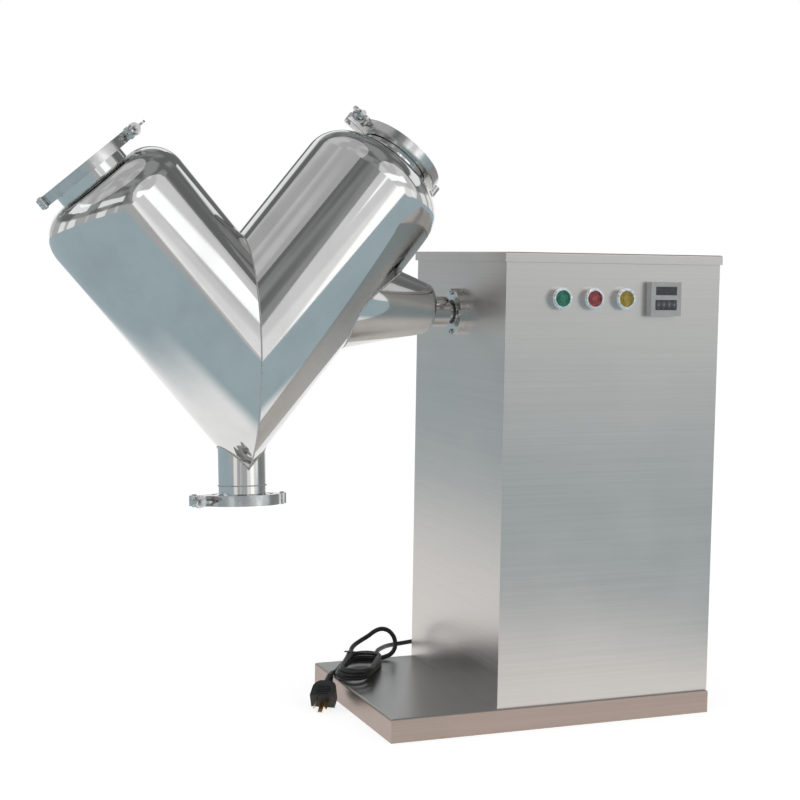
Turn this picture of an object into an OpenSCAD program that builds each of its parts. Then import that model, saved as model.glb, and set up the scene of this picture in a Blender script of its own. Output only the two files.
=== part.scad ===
// V-type powder blender: a mirror-polished V drum carried on one trunnion by a stainless cabinet.
// Lengths are in millimetres and angles in degrees. X runs from the drum towards the cabinet,
// Y away from the operator and Z up. The origin is the middle of the base's underside.

/* [Base] */
// Length of the base along X
base_w = 496; // [460:1:600]
// Depth of the base along Y
base_d = 328; // [300:1:400]
// Height of the base
base_h = 33; // [30:1:45]
// Thickness of the folded base tray
tray_t = 2; // [1.5:0.5:3]
// Outside radius of the tray's folded edges
tray_r = 3.5; // [3:0.5:5]
// Width of the base's folded channels
channel_w = 24; // [18:1:36]
// Wall of the base's folded channels
channel_t = 3; // [2:0.5:4]

/* [Cabinet] */
// Width of the cabinet along X
cab_w = 337; // [320:1:400]
// Height of the cabinet over the base, with its lid
cab_h = 633; // [600:1:720]
// Step from the base's front edge to the cabinet's front
cab_step = 4.5; // [3:0.5:12]
// Thickness of the cabinet's sheet
cab_t = 1.5; // [1:0.25:2]
// Width of the flanges folded inwards along the cabinet's open edges
cab_flange = 22; // [16:1:30]
// Height of the lid's folded edge
lid_h = 13.5; // [10:0.5:25]
// Outside radius of the lid's folded edges
lid_r = 2.5; // [2.5:0.5:5]

/* [Shaft] */
// Distance from the lid's top down to the shaft's axis
shaft_drop = 87; // [80:1:120]
// Diameter of the main shaft
shaft_d = 25; // [20:1:28]
// Diameter of the flange round the shaft on the cabinet's wall
wall_flange_d = 68; // [60:1:80]
// Thickness of that flange
wall_flange_t = 12; // [10:1:16]
// Circle of that flange's screws
wall_flange_pcd = 58; // [52:1:60]

/* [Drum] */
// Distance from the cabinet's left wall to the drum's middle plane
drum_reach = 330; // [325:1:400]
// Angle between each leg's axis and the upright
vee_half = 40; // [36:0.5:42]
// Distance of the point where the legs' axes meet below the shaft's axis
vee_drop = 60; // [50:1:70]
// Outside diameter of the legs
leg_d = 213; // [200:1:216]
// Wall of the drum
leg_wall = 3; // [2:0.5:4]
// Length of the left leg, from the meeting of the axes to the top of its head
left_leg = 304; // [290:1:330]
// Length of the right leg
right_leg = 348; // [320:1:350]
// Outside radius of the heads' rounded shoulders
knuckle_r = 50; // [35:1:52]
// Lean of the drum about the shaft as it stands, top away from the operator
drum_lean = 5.4; // [0:0.1:10]

/* [Ports] */
// Outside diameter of the two charging necks
neck_d = 108; // [96:1:110]
// Distance from a head's top to the middle of its gasket
neck_h = 20; // [18:1:26]
// Diameter of the charging ferrules
ferrule_d = 119; // [112:1:122]
// Outside diameter of the charging clamps
clamp_d = 140; // [136:1:146]
// Outside diameter of the discharge spout
spout_d = 66; // [56:1:68]
// Distance from the meeting of the axes down to the middle of the spout's gasket
spout_h = 199.5; // [196:0.5:215]
// Diameter of the spout's ferrule
spout_ferrule_d = 91; // [84:1:93]
// Outside diameter of the spout's clamp
spout_clamp_d = 106; // [104:1:112]
// Wall of the necks and the spout
neck_wall = 2; // [1.5:0.5:3]

/* [Clamps] */
// Height of a clamp
clamp_h = 14.5; // [14:0.5:18]
// Diameter of the swing bolts
bolt_d = 8; // [7:0.5:8]
// Length of the swing bolts from the pivot
bolt_len = 54; // [50:1:60]
// Distance of a swing bolt's pivot outside the clamp
lug_reach = 12; // [11:0.5:16]
// Span of the wing nuts
wing_span = 30; // [26:1:31]

/* [Trunnion cone] */
// Radius of the cone at its small end, before it is rounded over
cone_r = 34; // [30:1:38]
// Radius of the cone at its wide end, inside the drum's leg
cone_mouth_r = 82; // [74:1:90]
// How far the cone's axis rises from its small end to its wide end
cone_skew = 19.3; // [12:0.1:24]
// Radius of the rounded small end
cone_round = 12; // [8:1:14]
// Outside diameter of the hub on the cone
hub_d = 44; // [38:1:48]

/* [Panel] */
// Place of the green button along X
button_x = -8; // [-20:1:0]
// Spacing of the buttons
button_pitch = 49.5; // [40:0.5:50]
// Height of the panel's middle below the lid's top
panel_drop = 62.5; // [55:0.5:90]
// Diameter of the buttons' chrome bezels
bezel_d = 30; // [28:0.5:32]
// Depth of the bezels in front of the panel
bezel_h = 12; // [8:0.5:14]
// Side of the timer's square front
timer_w = 48; // [44:1:52]
// Place of the timer's middle along X
timer_x = 153.5; // [145:0.5:160]
// Depth of the timer's front part before the panel
timer_h = 13; // [8:0.5:16]

/* [Cord] */
// Diameter of the mains cord
cord_d = 7; // [6:0.5:8]

/* [Hidden] */
$fn = 64;

// Clearances and overruns
cut = 1;            // overrun of every cut
run_fit = 0.05;     // radial clearance of a turning fit
seat_fit = 0.02;    // radial clearance of a seated fit
play = 0.3;         // gap between pieces that pass each other
slide_gap = 0.6;    // gap round a bolt in its slot
big = 1200;         // half-space used to trim the drum

// Places that several pieces share
lid_top = base_h + cab_h;
cab_top = lid_top - cab_t;
lid_gap = lid_r - cab_t;
cab_left = base_w / 2 - cab_w;
cab_right = base_w / 2;
cab_front = -base_d / 2 + cab_step;
cab_back = base_d / 2;
shaft_z = lid_top - shaft_drop;
panel_z = lid_top - panel_drop;
drum_x = cab_left - drum_reach;
leg_r = leg_d / 2;
flange_x = cab_left - wall_flange_t;

// Stainless and other colours
steel = "lightsteelblue";
polished = "gainsboro";
cast = "slategray";
dark = [0.15, 0.15, 0.16];
rubber = [0.1, 0.1, 0.1];

// Base frame
cross_w = 50;

// Bearings and their stand
block_centre_h = 36.5;
block_len = 140;
block_w = 38;
block_foot_h = 15;
block_body_r = 35;
block_bolt_span = 105;
block_bolt_d = 10;
race_r = 26;
race_w = 17;
inner_r = 17;
inner_w = 34;
block_spacing_share = 0.285;
block_spacing = cab_w * block_spacing_share;
stand_x = cab_left + cab_flange + play;
near_block_x = stand_x + block_w / 2 + play;
far_block_x = near_block_x + block_spacing;
shelf_t = 8;
shelf_w = 150;
shelf_z = shaft_z - block_centre_h;
post_w = 30;
post_t = 3;
plate_t = 8;
plate_in = 34;
plate_x = far_block_x + plate_in;
plate_rise = 62;
post_end = far_block_x + block_w / 2;
foot_w = 46;
foot_t = 5;
brace_z = 150;
stand_bolt_d = 8;

// Gearbox and motor
gear_w = 92;
gear_x = plate_x + plate_t + gear_w / 2;
gear_centres = 50;
gear_case_r = 54;
gear_case_w = 66;
gear_boss_r = 36;
worm_case_r = 28;
worm_case_h = 122;
sleeve_r = 17.5;
gear_flange_r = 44;
gear_flange_t = 10;
gear_bolt_pcd = 73;
gear_bolt_d = 8;
gear_face_pcd = 54;
gear_rib_h = 3;
gear_rib_t = 2;
motor_top = shaft_z - worm_case_h / 2 - gear_flange_t;
motor_len = 178;
motor_tube_r = 55;
motor_wall = 9;
fin_h = 8;
fin_t = 3;
fin_count = 24;
motor_shaft_r = 7;
shield_t = 12;
winding = 30;
rotor_r = 36;
fan_r = 46;
fan_h = 14;
fan_t = 2;
fan_hub_r = 16;
fan_gap = 6;
rotor_tail = 24;
fan_cover_h = 46;
fan_cover_t = 1.5;
air_slot_w = 4;
air_slot_pitch = 9;
air_slot_first = 14;
fan_cover_r = motor_tube_r + seat_fit + fan_cover_t;
rotor_x = gear_x;
rotor_y = gear_centres;
shaft_in = 40;
shaft_end = 4;

// Control gear on the right wall
plate_w = 2;
gear_plate_d = 76;
gear_plate_h = 170;
gear_plate_z = 296;
gear_plate_y = -92;
rail_t = 10;
rail_h = 8;
relay_rail_z = 418;
terminal_rail_z = 332;
rail_len = 72;
relay_d = 52;
relay_w = 45;
relay_h = 62;
relay_cap = 8;
terminal_d = 32;
terminal_pitch = 9;
terminal_count = 8;

// Ferrules, gaskets and caps
ferrule_edge = 2.85;
ferrule_slope = 20;
ferrule_step = 5.5;
gasket_t = 2;
cap_t = 6;

// Clamp details
split = 1.6;
lip = 3.2;
band_edge = 1;
pivot_y = 13;
fork_y = 18;
lug_r = 7;
lug_root = 8;
bolt_edge = 1;
pin_r = 3;
pin_head_r = 4.4;
pin_head_t = 1.7;
eye_h = 9;
hinge_out = 3.6;
hinge_r = 6;
hinge_pin_r = 2.5;
hinge_mid = 4.6;
washer_r = 9;
washer_t = 1.6;
nut_r = 8;
nut_top_r = 6.6;
nut_h = 9.5;
wing_t = 3.2;
wing_r = 6.2;
wing_lift = 11.5;

// Hub, cone and flange
hub_out = 24.5;
hub_in = 28;
hub_gap = 10;
hub_end = flange_x - hub_gap;
cone_end = hub_end - hub_out;
cone_stop = 118.5;
cone_len = cone_end - drum_x - cone_stop;
cone_half = atan((cone_mouth_r - cone_r) / cone_len);
cone_tilt = asin(cone_skew / cone_len);
cone_rise = 3;
screw_sink = 1.5;
cone_wall = 3;
cone_end_wall = 10;
hub_screw_d = 8;
hub_screw_turn = 12;
hub_screw_step = 120;
socket_d = 4.5;
flange_screw_head_r = 4.3;
flange_screw_r = 2.5;
flange_edge = 1;
seal_r = 17.5;
seal_lip = 2.2;

// Panel details
button_hole_r = 11.2;
button_travel = 4;
cap_r = 10.9;
cap_face = 1.2;
bezel_edge = 1.5;
cap_sink = 1;
cap_head_h = 4;
cap_ring_t = 1.6;
cap_ring_gap = 1.4;
plunger_gap = 1;
plunger_in = 4;
block_gap = 4;
timer_hole = 45;
timer_depth = 62;
timer_wall = 2;
window_w = 34;
window_h = 12;
window_rise = 11.5;
wheel_strip_h = 14;
wheel_strip_drop = 8.2;
wheel_r = 9;
wheel_w = 7.9;
wheel_pitch = 8.5;
wheel_out = 1;
wheel_count = 4;
wheel_bay_w = wheel_count * wheel_pitch + 2 * play;
axle_r = 1.5;
notch_r = 1;
block_r = 14;
block_len_y = 34;
nut_ring_r = 14.5;
nut_ring_t = 3;

// Back panel
panel_margin = 9;
panel_gap = 1;
back_screw_r = 4;
back_screw_h = 2.2;
back_rows = 4;
slot_w = 4;
slot_h = 60;
slot_pitch = 12;
slot_count = 9;
slot_z = 170;

// Cord and plug: the route from the gland to the hank, the tail to the plug, all chosen by hand
gland_x = -62;
gland_z = 47;
gland_r = 9;
gland_nut_h = 5;
gland_cone_h = 14;
gland_lip = 1.4;
gland_flats = 3;
lead_route = [[-62, 158, 47], [-62, 174, 47], [-62, 190, 46.5], [-64, 201, 45], [-70, 210, 42.5],
    [-79, 216, 40], [-90, 217, 38.7], [-101, 213, 39], [-112, 204, 40.3], [-122, 193, 42],
    [-131, 181, 43.5], [-140, 169, 44.8], [-147, 159, 45.3], [-152, 149, 45.2], [-155, 138, 43.5],
    [-157, 128, 40.5], [-159, 119, 38], [-163, 109, 36.7], [-169, 99, 36.6]];
link_route = [[-205, 121, 56.4], [-199, 134, 58.5], [-190, 145, 61], [-178, 152, 65],
    [-165, 156, 70]];
tail_route = [[-140, 146, 38], [-153, 144.5, 36.6], [-167, 147, 36.6], [-182, 151.5, 36.6],
    [-197, 148, 36.6], [-210, 137, 36.6], [-221, 121, 36.6], [-231, 104, 36.6], [-242, 88, 36.9],
    [-252, 75, 38.3], [-259, 61, 38.2], [-264, 53, 34.2]];
hank_pivot = [-186, 112];
hank_turn = 57;
hank_reach = 84;
hank_w = 54;
hank_h = 27;
loop_at = [-143, 152];
loop_turn = -4;
loop_w = 49;
loop_h = 50;
loop_t = 16;
tie_w = 5;
tie_t = 1.2;
plug_at = [-259, 60.5, 38.4];
plug_turn = 238;
plug_dip = 27;
plug_collar_r = 8;
plug_collar_l = 24;
plug_r = 17.5;
plug_l = 31;
plug_t = 22;
plug_pin_drop = 4;
plug_lap = 2;
side_pin_turn = 30;
blade_l = 18;
blade_w = 6.3;
blade_t = 1.6;

// Placing of pieces

module on_drum() {
    translate([0, 0, shaft_z]) rotate([-drum_lean, 0, 0]) children();
}

module on_vee() {
    on_drum() translate([drum_x, 0, -vee_drop]) children();
}

// Left leg, right leg and spout, each with Z along the port's own axis and outwards
module at_left(h) {
    on_vee() rotate([0, -vee_half, 0]) translate([0, 0, h]) children();
}

module at_right(h) {
    on_vee() rotate([0, vee_half, 0]) translate([0, 0, h]) children();
}

module at_spout(h) {
    on_vee() rotate([0, 180, 0]) translate([0, 0, h]) children();
}

// The clamps' own frames, with each swing bolt on the +X side
module left_clamp_frame() {
    at_left(left_leg + neck_h) children();
}

module right_clamp_frame() {
    at_right(right_leg + neck_h) rotate([0, 180, 0]) children();
}

module spout_clamp_frame() {
    at_spout(spout_h) children();
}

module along_x(x) {
    translate([x, 0, 0]) rotate([0, 90, 0]) children();
}

module tube(r, inner, h) {
    difference() {
        cylinder(r = r, h = h);
        translate([0, 0, -cut]) cylinder(r = inner, h = h + 2 * cut);
    }
}

// Folded sheet covers

// Outline of a folded cover seen from one side: two rounded top corners over straight edges
module cover_outline(w, h, r) {
    translate([-w / 2, 0]) square([w, h - r]);
    translate([r - w / 2, 0]) square([w - 2 * r, h]);
    for (side = [-1, 1]) translate([side * (w / 2 - r), h - r]) circle(r = r);
}

module cover_block(w, d, h, r) {
    intersection() {
        translate([0, d / 2, 0]) rotate([90, 0, 0]) linear_extrude(d) cover_outline(w, h, r);
        translate([-w / 2, 0, 0]) rotate([90, 0, 90]) linear_extrude(w) cover_outline(d, h, r);
    }
}

module folded_cover(w, d, h, t, r) {
    difference() {
        cover_block(w, d, h, r);
        translate([0, 0, -cut]) cover_block(w - 2 * t, d - 2 * t, h - t + cut, r - t);
    }
}

// Base

module channel_ring(w, d, h) {
    difference() {
        translate([-w / 2, -d / 2, 0]) cube([w, d, h]);
        translate([-w / 2 + channel_w, -d / 2 + channel_w, -cut])
            cube([w - 2 * channel_w, d - 2 * channel_w, h + 2 * cut]);
        translate([-w / 2 + channel_t, -d / 2 + channel_t, channel_t])
            cube([w - 2 * channel_t, d - 2 * channel_t, h - 2 * channel_t]);
    }
}

module cross_channel(x, w, len, h) {
    difference() {
        translate([x - w / 2, -len / 2, 0]) cube([w, len, h]);
        translate([x - w / 2 + channel_t, -len / 2 - cut, channel_t])
            cube([w - 2 * channel_t, len + 2 * cut, h - 2 * channel_t]);
    }
}

module base_frame() {
    w = base_w - 2 * tray_t;
    d = base_d - 2 * tray_t;
    h = base_h - tray_t;
    // Its outer edges are rounded to clear the inside of the tray's folds
    color(cast) intersection() {
        cover_block(w, d, h, tray_r);
        union() {
            channel_ring(w, d, h);
            for (x = [-base_w / 4, 0, base_w / 4])
                cross_channel(x, cross_w, d - 2 * channel_w, h);
        }
    }
}

module base_tray() {
    color(steel) folded_cover(base_w, base_d, base_h, tray_t, tray_r);
}

// Cabinet

module cabinet_shell() {
    d = cab_back - cab_front - cab_t - panel_gap;
    h = cab_top - base_h;
    inner_w_x = cab_w - 2 * cab_t;
    color(steel) translate([cab_left, cab_front, base_h]) difference() {
        cube([cab_w, d, h]);
        translate([cab_t, cab_t, cab_t]) cube([inner_w_x, d - 2 * cab_t, h - 2 * cab_t]);
        translate([cab_flange, cab_flange, -cut])
            cube([cab_w - 2 * cab_flange, d - 2 * cab_flange, h + 2 * cut]);
        translate([cab_flange, d - cab_flange, cab_flange])
            cube([cab_w - 2 * cab_flange, cab_flange + cut, h - 2 * cab_flange]);
        translate([cab_flange, cab_flange, h - cab_flange])
            cube([cab_w - 2 * cab_flange, d - 2 * cab_flange, cab_flange + cut]);
        // The shaft's hole in the left wall
        translate([-cut, -cab_front, shaft_z - base_h]) rotate([0, 90, 0])
            cylinder(r = seal_r + play, h = cab_t + 2 * cut);
        // The gland's hole in the flange behind the back panel
        translate([gland_x - cab_left, d - 2 * cab_t, gland_z - base_h]) rotate([-90, 0, 0])
            cylinder(r = gland_r, h = 4 * cab_t);
        // The buttons' and the timer's holes in the front
        for (i = [0 : 2]) translate([button_x + i * button_pitch - cab_left, -cut, panel_z - base_h])
            rotate([-90, 0, 0]) cylinder(r = button_hole_r, h = cab_t + 2 * cut);
        translate([timer_x - cab_left - timer_hole / 2, -cut, panel_z - base_h - timer_hole / 2])
            cube([timer_hole, cab_t + 2 * cut, timer_hole]);
    }
}

module back_panel() {
    w = cab_w - 2 * panel_gap;
    h = cab_top - base_h - panel_gap;
    color(steel) translate([cab_left + panel_gap, cab_back - cab_t - panel_gap, base_h + panel_gap])
        difference() {
            cube([w, cab_t, h - panel_gap]);
            translate([gland_x - cab_left - panel_gap, -cut, gland_z - base_h - panel_gap])
                rotate([-90, 0, 0]) cylinder(r = gland_r - play, h = cab_t + 2 * cut);
            for (i = [0 : slot_count - 1], row = [0, 1])
                translate([w / 2 + (i - (slot_count - 1) / 2) * slot_pitch - slot_w / 2, -cut,
                        slot_z + row * (slot_h + slot_pitch) * 4])
                    cube([slot_w, cab_t + 2 * cut, slot_h]);
        }
}

module back_panel_screws() {
    w = cab_w - 2 * panel_gap - 2 * panel_margin;
    first = base_h + panel_margin;
    last = lid_top - lid_h - panel_margin;
    color("silver") for (side = [0, 1], row = [0 : back_rows - 1])
        translate([cab_left + panel_gap + panel_margin + side * w, cab_back - panel_gap,
                first + row * (last - first) / (back_rows - 1)])
            rotate([-90, 0, 0]) difference() {
                intersection() {
                    cylinder(r = back_screw_r, h = back_screw_h);
                    translate([0, 0, back_screw_h - 2 * back_screw_r])
                        sphere(r = 2 * back_screw_r);
                }
                for (a = [0, 90]) rotate([0, 0, a])
                    translate([-back_screw_r / 2, -back_screw_h / 6, back_screw_h / 2])
                        cube([back_screw_r, back_screw_h / 3, back_screw_h]);
            }
}

module lid() {
    over = 2 * (lid_gap + cab_t);
    d = cab_back - cab_front;
    color(steel) translate([(cab_left + cab_right) / 2, (cab_front + cab_back) / 2, lid_top - lid_h])
        folded_cover(cab_w + over, d + over, lid_h, cab_t, lid_r);
}

// Bearing stand

module angle_post(h) {
    difference() {
        cube([post_w, post_w, h]);
        translate([post_t, post_t, -cut]) cube([post_w, post_w, h + 2 * cut]);
    }
}

module stand_corners() {
    x0 = stand_x;
    x1 = post_end;
    for (sx = [0, 1], sy = [-1, 1])
        translate([sx == 0 ? x0 : x1, sy * shelf_w / 2, 0])
            mirror([sx, 0, 0]) mirror([0, sy < 0 ? 0 : 1, 0]) children();
}

module bearing_stand() {
    x0 = stand_x;
    x1 = plate_x + plate_t;
    color(cast) difference() {
        union() {
            stand_corners() {
                translate([0, 0, base_h]) angle_post(shelf_z - shelf_t - base_h);
                translate([0, -foot_w + post_w, base_h]) cube([foot_w, foot_w, foot_t]);
            }
            translate([x0, -shelf_w / 2, shelf_z - shelf_t]) cube([x1 - x0, shelf_w, shelf_t]);
            for (sy = [-1, 1]) translate([x0, sy * (shelf_w / 2 - post_t / 2) - post_t / 2, brace_z])
                cube([post_end - x0, post_t, post_w]);
            for (x = [x0, post_end - post_t]) translate([x, -shelf_w / 2, brace_z])
                cube([post_t, shelf_w, post_w]);
            translate([plate_x, -shelf_w / 2, shelf_z - shelf_t])
                cube([plate_t, shelf_w, shelf_t + block_centre_h + plate_rise]);
        }
        translate([plate_x - cut, 0, shaft_z]) rotate([0, 90, 0])
            cylinder(r = gear_boss_r / 2 + play, h = plate_t + 2 * cut);
    }
}

module drive_bolts() {
    color("silver") {
        stand_corners() translate([foot_w - stand_bolt_d, -foot_w + post_w + stand_bolt_d,
                base_h + foot_t])
            cylinder(r = stand_bolt_d, h = stand_bolt_d * 0.6, $fn = 6);
        for (x = [near_block_x, far_block_x], side = [-1, 1])
            translate([x, side * block_bolt_span / 2, shelf_z + block_foot_h]) {
                cylinder(r = block_bolt_d, h = block_bolt_d * 0.2);
                translate([0, 0, block_bolt_d * 0.2])
                    cylinder(r = block_bolt_d * 0.85, h = block_bolt_d * 0.65, $fn = 6);
            }
        // Through the plate into the gearbox
        for (a = [45 : 90 : 315]) translate([plate_x, 0, shaft_z]) rotate([0, 90, 0])
            rotate([0, 0, a]) translate([gear_face_pcd / 2, 0, -gear_bolt_d * 0.6])
                cylinder(r = gear_bolt_d * 0.8, h = gear_bolt_d * 0.6, $fn = 6);
        // Through the gearbox's input flange into the motor
        for (a = [45 : 90 : 315]) translate([rotor_x, rotor_y, motor_top + gear_flange_t])
            rotate([0, 0, a]) translate([gear_bolt_pcd / 2, 0, 0])
                cylinder(r = gear_bolt_d * 0.6, h = gear_bolt_d * 0.6, $fn = 6);
    }
}

module pillow_block(x) {
    translate([x, 0, shaft_z]) difference() {
        union() {
            rotate([0, 90, 0]) translate([0, 0, -block_w * 0.4])
                cylinder(r = block_body_r, h = block_w * 0.8);
            translate([-block_w / 2, -block_len / 2 + block_w / 2, -block_centre_h])
                cube([block_w, block_len - block_w, block_foot_h]);
            for (side = [-1, 1]) translate([0, side * (block_len - block_w) / 2, -block_centre_h])
                cylinder(r = block_w / 2, h = block_foot_h);
            translate([-block_w * 0.3, -block_body_r, -block_centre_h])
                cube([block_w * 0.6, 2 * block_body_r, block_body_r]);
        }
        translate([-block_w, 0, 0]) rotate([0, 90, 0]) cylinder(r = race_r, h = 2 * block_w);
    }
}

module pillow_blocks() {
    color(cast) for (x = [near_block_x, far_block_x]) {
        difference() {
            pillow_block(x);
            translate([x - race_w / 2, 0, shaft_z]) rotate([0, 90, 0])
                cylinder(r = race_r, h = race_w);
        }
        translate([x - race_w / 2, 0, shaft_z]) rotate([0, 90, 0])
            tube(race_r, inner_r + run_fit, race_w);
    }
}

module wall_flange() {
    color(polished) translate([flange_x, 0, shaft_z]) rotate([0, 90, 0]) difference() {
        union() {
            cylinder(r = wall_flange_d / 2 - flange_edge, h = flange_edge);
            translate([0, 0, flange_edge])
                cylinder(r = wall_flange_d / 2, h = wall_flange_t - flange_edge);
        }
        translate([0, 0, -cut]) cylinder(r = seal_r, h = wall_flange_t + 2 * cut);
        for (a = [0 : 90 : 270]) rotate([0, 0, a]) translate([wall_flange_pcd / 2, 0, -cut])
            cylinder(r = flange_screw_r, h = wall_flange_t + 2 * cut);
    }
}

module wall_flange_screws() {
    color("silver") for (a = [0 : 90 : 270]) translate([flange_x, 0, shaft_z]) rotate([0, 90, 0])
        rotate([0, 0, a]) translate([wall_flange_pcd / 2, 0, -flange_screw_r]) difference() {
            union() {
                cylinder(r = flange_screw_head_r, h = flange_screw_r);
                cylinder(r = flange_screw_r - seat_fit, h = wall_flange_t + flange_screw_r);
            }
            translate([0, 0, -cut])
                cylinder(r = flange_screw_r * 0.8, h = cut + flange_screw_r * 0.7, $fn = 6);
        }
}

module shaft_seal() {
    color(rubber) translate([flange_x, 0, shaft_z]) rotate([0, 90, 0])
        tube(seal_r - seat_fit, shaft_d / 2 + run_fit, wall_flange_t + cab_t);
}

// Gearbox and motor

module gearbox_housing() {
    color(cast) difference() {
        union() {
            along_x(gear_x - gear_case_w / 2) translate([-shaft_z, 0, 0])
                cylinder(r = gear_case_r, h = gear_case_w);
            along_x(gear_x - gear_w / 2) translate([-shaft_z, 0, 0])
                cylinder(r = gear_boss_r, h = gear_w);
            translate([gear_x, rotor_y, shaft_z - worm_case_h / 2])
                cylinder(r = worm_case_r, h = worm_case_h);
            translate([gear_x - gear_case_w / 2, 0, shaft_z - gear_case_r])
                cube([gear_case_w, rotor_y, 2 * gear_case_r]);
            translate([gear_x, rotor_y, shaft_z - worm_case_h / 2 - gear_flange_t])
                cylinder(r = gear_flange_r, h = gear_flange_t);
            // Cooling ribs round the wheel case
            for (i = [-2 : 2]) along_x(gear_x + i * gear_case_w / 6 - gear_rib_t / 2)
                translate([-shaft_z, 0, 0]) cylinder(r = gear_case_r + gear_rib_h, h = gear_rib_t);
        }
        along_x(gear_x - gear_w) translate([-shaft_z, 0, 0])
            cylinder(r = sleeve_r + run_fit, h = 2 * gear_w);
        translate([gear_x, rotor_y, motor_top - cut])
            cylinder(r = motor_shaft_r + run_fit, h = shaft_in + play + cut);
    }
}

module motor_housing() {
    color("slategray") translate([rotor_x, rotor_y, motor_top - motor_len]) difference() {
        union() {
            cylinder(r = motor_tube_r, h = motor_len);
            for (i = [0 : fin_count - 1]) rotate([0, 0, i * 360 / fin_count])
                translate([0, -fin_t / 2, 0])
                    cube([motor_tube_r + fin_h, fin_t, motor_len - shield_t]);
            // Terminal box on the side away from the back panel
            translate([-motor_tube_r / 2, -motor_tube_r - fin_h * 2.4, motor_len / 3])
                cube([motor_tube_r, motor_tube_r, motor_len / 2.6]);
        }
        // Room for the windings at each end of the stator, and the stator's bore between
        translate([0, 0, -cut]) cylinder(r = motor_tube_r - motor_wall, h = winding + cut);
        translate([0, 0, motor_len - shield_t - winding])
            cylinder(r = motor_tube_r - motor_wall, h = winding);
        cylinder(r = rotor_r + 2 * play, h = motor_len - shield_t);
        cylinder(r = motor_shaft_r + run_fit, h = motor_len + cut);
    }
}

module motor_rear_shield() {
    color("slategray") translate([rotor_x, rotor_y, motor_top - motor_len - shield_t]) difference() {
        union() {
            cylinder(r = motor_tube_r, h = shield_t);
            cylinder(r = motor_tube_r - motor_wall - seat_fit, h = shield_t + shield_t / 3);
        }
        translate([0, 0, -cut])
            cylinder(r = motor_shaft_r + run_fit, h = 2 * shield_t);
    }
}

module fan_cover() {
    color(dark) translate([rotor_x, rotor_y, motor_top - motor_len - fan_cover_h]) difference() {
        cylinder(r = fan_cover_r, h = fan_cover_h - play);
        translate([0, 0, fan_cover_t])
            cylinder(r = fan_cover_r - fan_cover_t, h = fan_cover_h);
        // Air slots in the end, cut by rings between two ribs
        for (r = [air_slot_first : air_slot_pitch : fan_cover_r - air_slot_w], a = [0 : 60 : 300])
            rotate([0, 0, a]) translate([r - air_slot_w / 2, -r * 0.42, -cut])
                cube([air_slot_w, r * 0.84, fan_cover_t + 2 * cut]);
    }
}

module motor_rotor() {
    color("silver") translate([rotor_x, rotor_y, 0]) union() {
        translate([0, 0, motor_top - motor_len - shield_t - rotor_tail])
            cylinder(r = motor_shaft_r, h = motor_len + shield_t + rotor_tail + shaft_in);
        translate([0, 0, motor_top - motor_len + winding])
            cylinder(r = rotor_r, h = motor_len - shield_t - 2 * winding);
    }
}

module motor_fan() {
    color(dark) translate([rotor_x, rotor_y, motor_top - motor_len - shield_t - fan_gap - fan_h])
        difference() {
            union() {
                cylinder(r = fan_hub_r, h = fan_h);
                cylinder(r = fan_r, h = fan_t);
                for (a = [0 : 45 : 315]) rotate([0, 0, a]) translate([fan_hub_r / 2, -fan_t / 2, 0])
                    cube([fan_r - fan_hub_r / 2, fan_t, fan_h]);
            }
            translate([0, 0, -cut]) cylinder(r = motor_shaft_r + seat_fit, h = fan_h + 2 * cut);
        }
}

module control_gear() {
    x = cab_right - cab_t;
    rail_x = x - plate_w - rail_t;
    rail_y = gear_plate_y + gear_plate_d / 2;
    terminals_w = terminal_count * terminal_pitch;
    color("beige") union() {
        translate([x - plate_w, gear_plate_y, gear_plate_z])
            cube([plate_w, gear_plate_d, gear_plate_h]);
        for (z = [relay_rail_z, terminal_rail_z])
            translate([rail_x, rail_y - rail_len / 2, z]) cube([rail_t, rail_len, rail_h]);
        // Relay with its coil's cover
        translate([rail_x - relay_d + play, rail_y - relay_w / 2, relay_rail_z + rail_h / 2 - relay_h / 2])
            cube([relay_d, relay_w, relay_h]);
        translate([rail_x - relay_d - relay_cap, rail_y - relay_w / 2 + relay_cap,
                relay_rail_z + rail_h / 2 - relay_w / 2])
            cube([2 * relay_cap, relay_w - 2 * relay_cap, relay_w]);
        // Terminals
        for (i = [0 : terminal_count - 1])
            translate([rail_x - terminal_d + play, rail_y - terminals_w / 2 + i * terminal_pitch,
                    terminal_rail_z + rail_h / 2 - relay_w / 2])
                cube([terminal_d, terminal_pitch - play, relay_w]);
    }
}

// Panel

module panel_bezel() {
    difference() {
        union() {
            cylinder(r = bezel_d / 2, h = bezel_h - bezel_edge);
            cylinder(r = bezel_d / 2 - bezel_edge, h = bezel_h);
        }
        translate([0, 0, -cut]) cylinder(r = cap_r + play, h = bezel_h + 2 * cut);
    }
}

module at_button(i) {
    translate([button_x + i * button_pitch, cab_front, panel_z]) rotate([90, 0, 0]) children();
}

module button_bezels() {
    color(polished) for (i = [0 : 2]) at_button(i) panel_bezel();
}

// A cap with two raised rings and a raised middle, on a plunger that reaches behind the panel
module button_cap() {
    depth = bezel_h - cap_sink;
    floor_z = depth - cap_face;
    step = cap_ring_t + cap_ring_gap;
    union() {
        translate([0, 0, -cab_t - plunger_in])
            cylinder(r = cap_r - plunger_gap, h = cab_t + plunger_in + floor_z);
        translate([0, 0, depth - cap_head_h]) cylinder(r = cap_r, h = cap_head_h - cap_face);
        translate([0, 0, floor_z]) tube(cap_r, cap_r - cap_ring_t, cap_face);
        translate([0, 0, floor_z]) tube(cap_r - step, cap_r - step - cap_ring_t, cap_face * 0.7);
        translate([0, 0, floor_z]) cylinder(r = cap_r - 2 * step, h = cap_face * 0.7);
    }
}

module green_button() {
    color("green") at_button(0) button_cap();
}

module red_button() {
    color("red") at_button(1) button_cap();
}

module yellow_button() {
    color("gold") at_button(2) button_cap();
}

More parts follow.
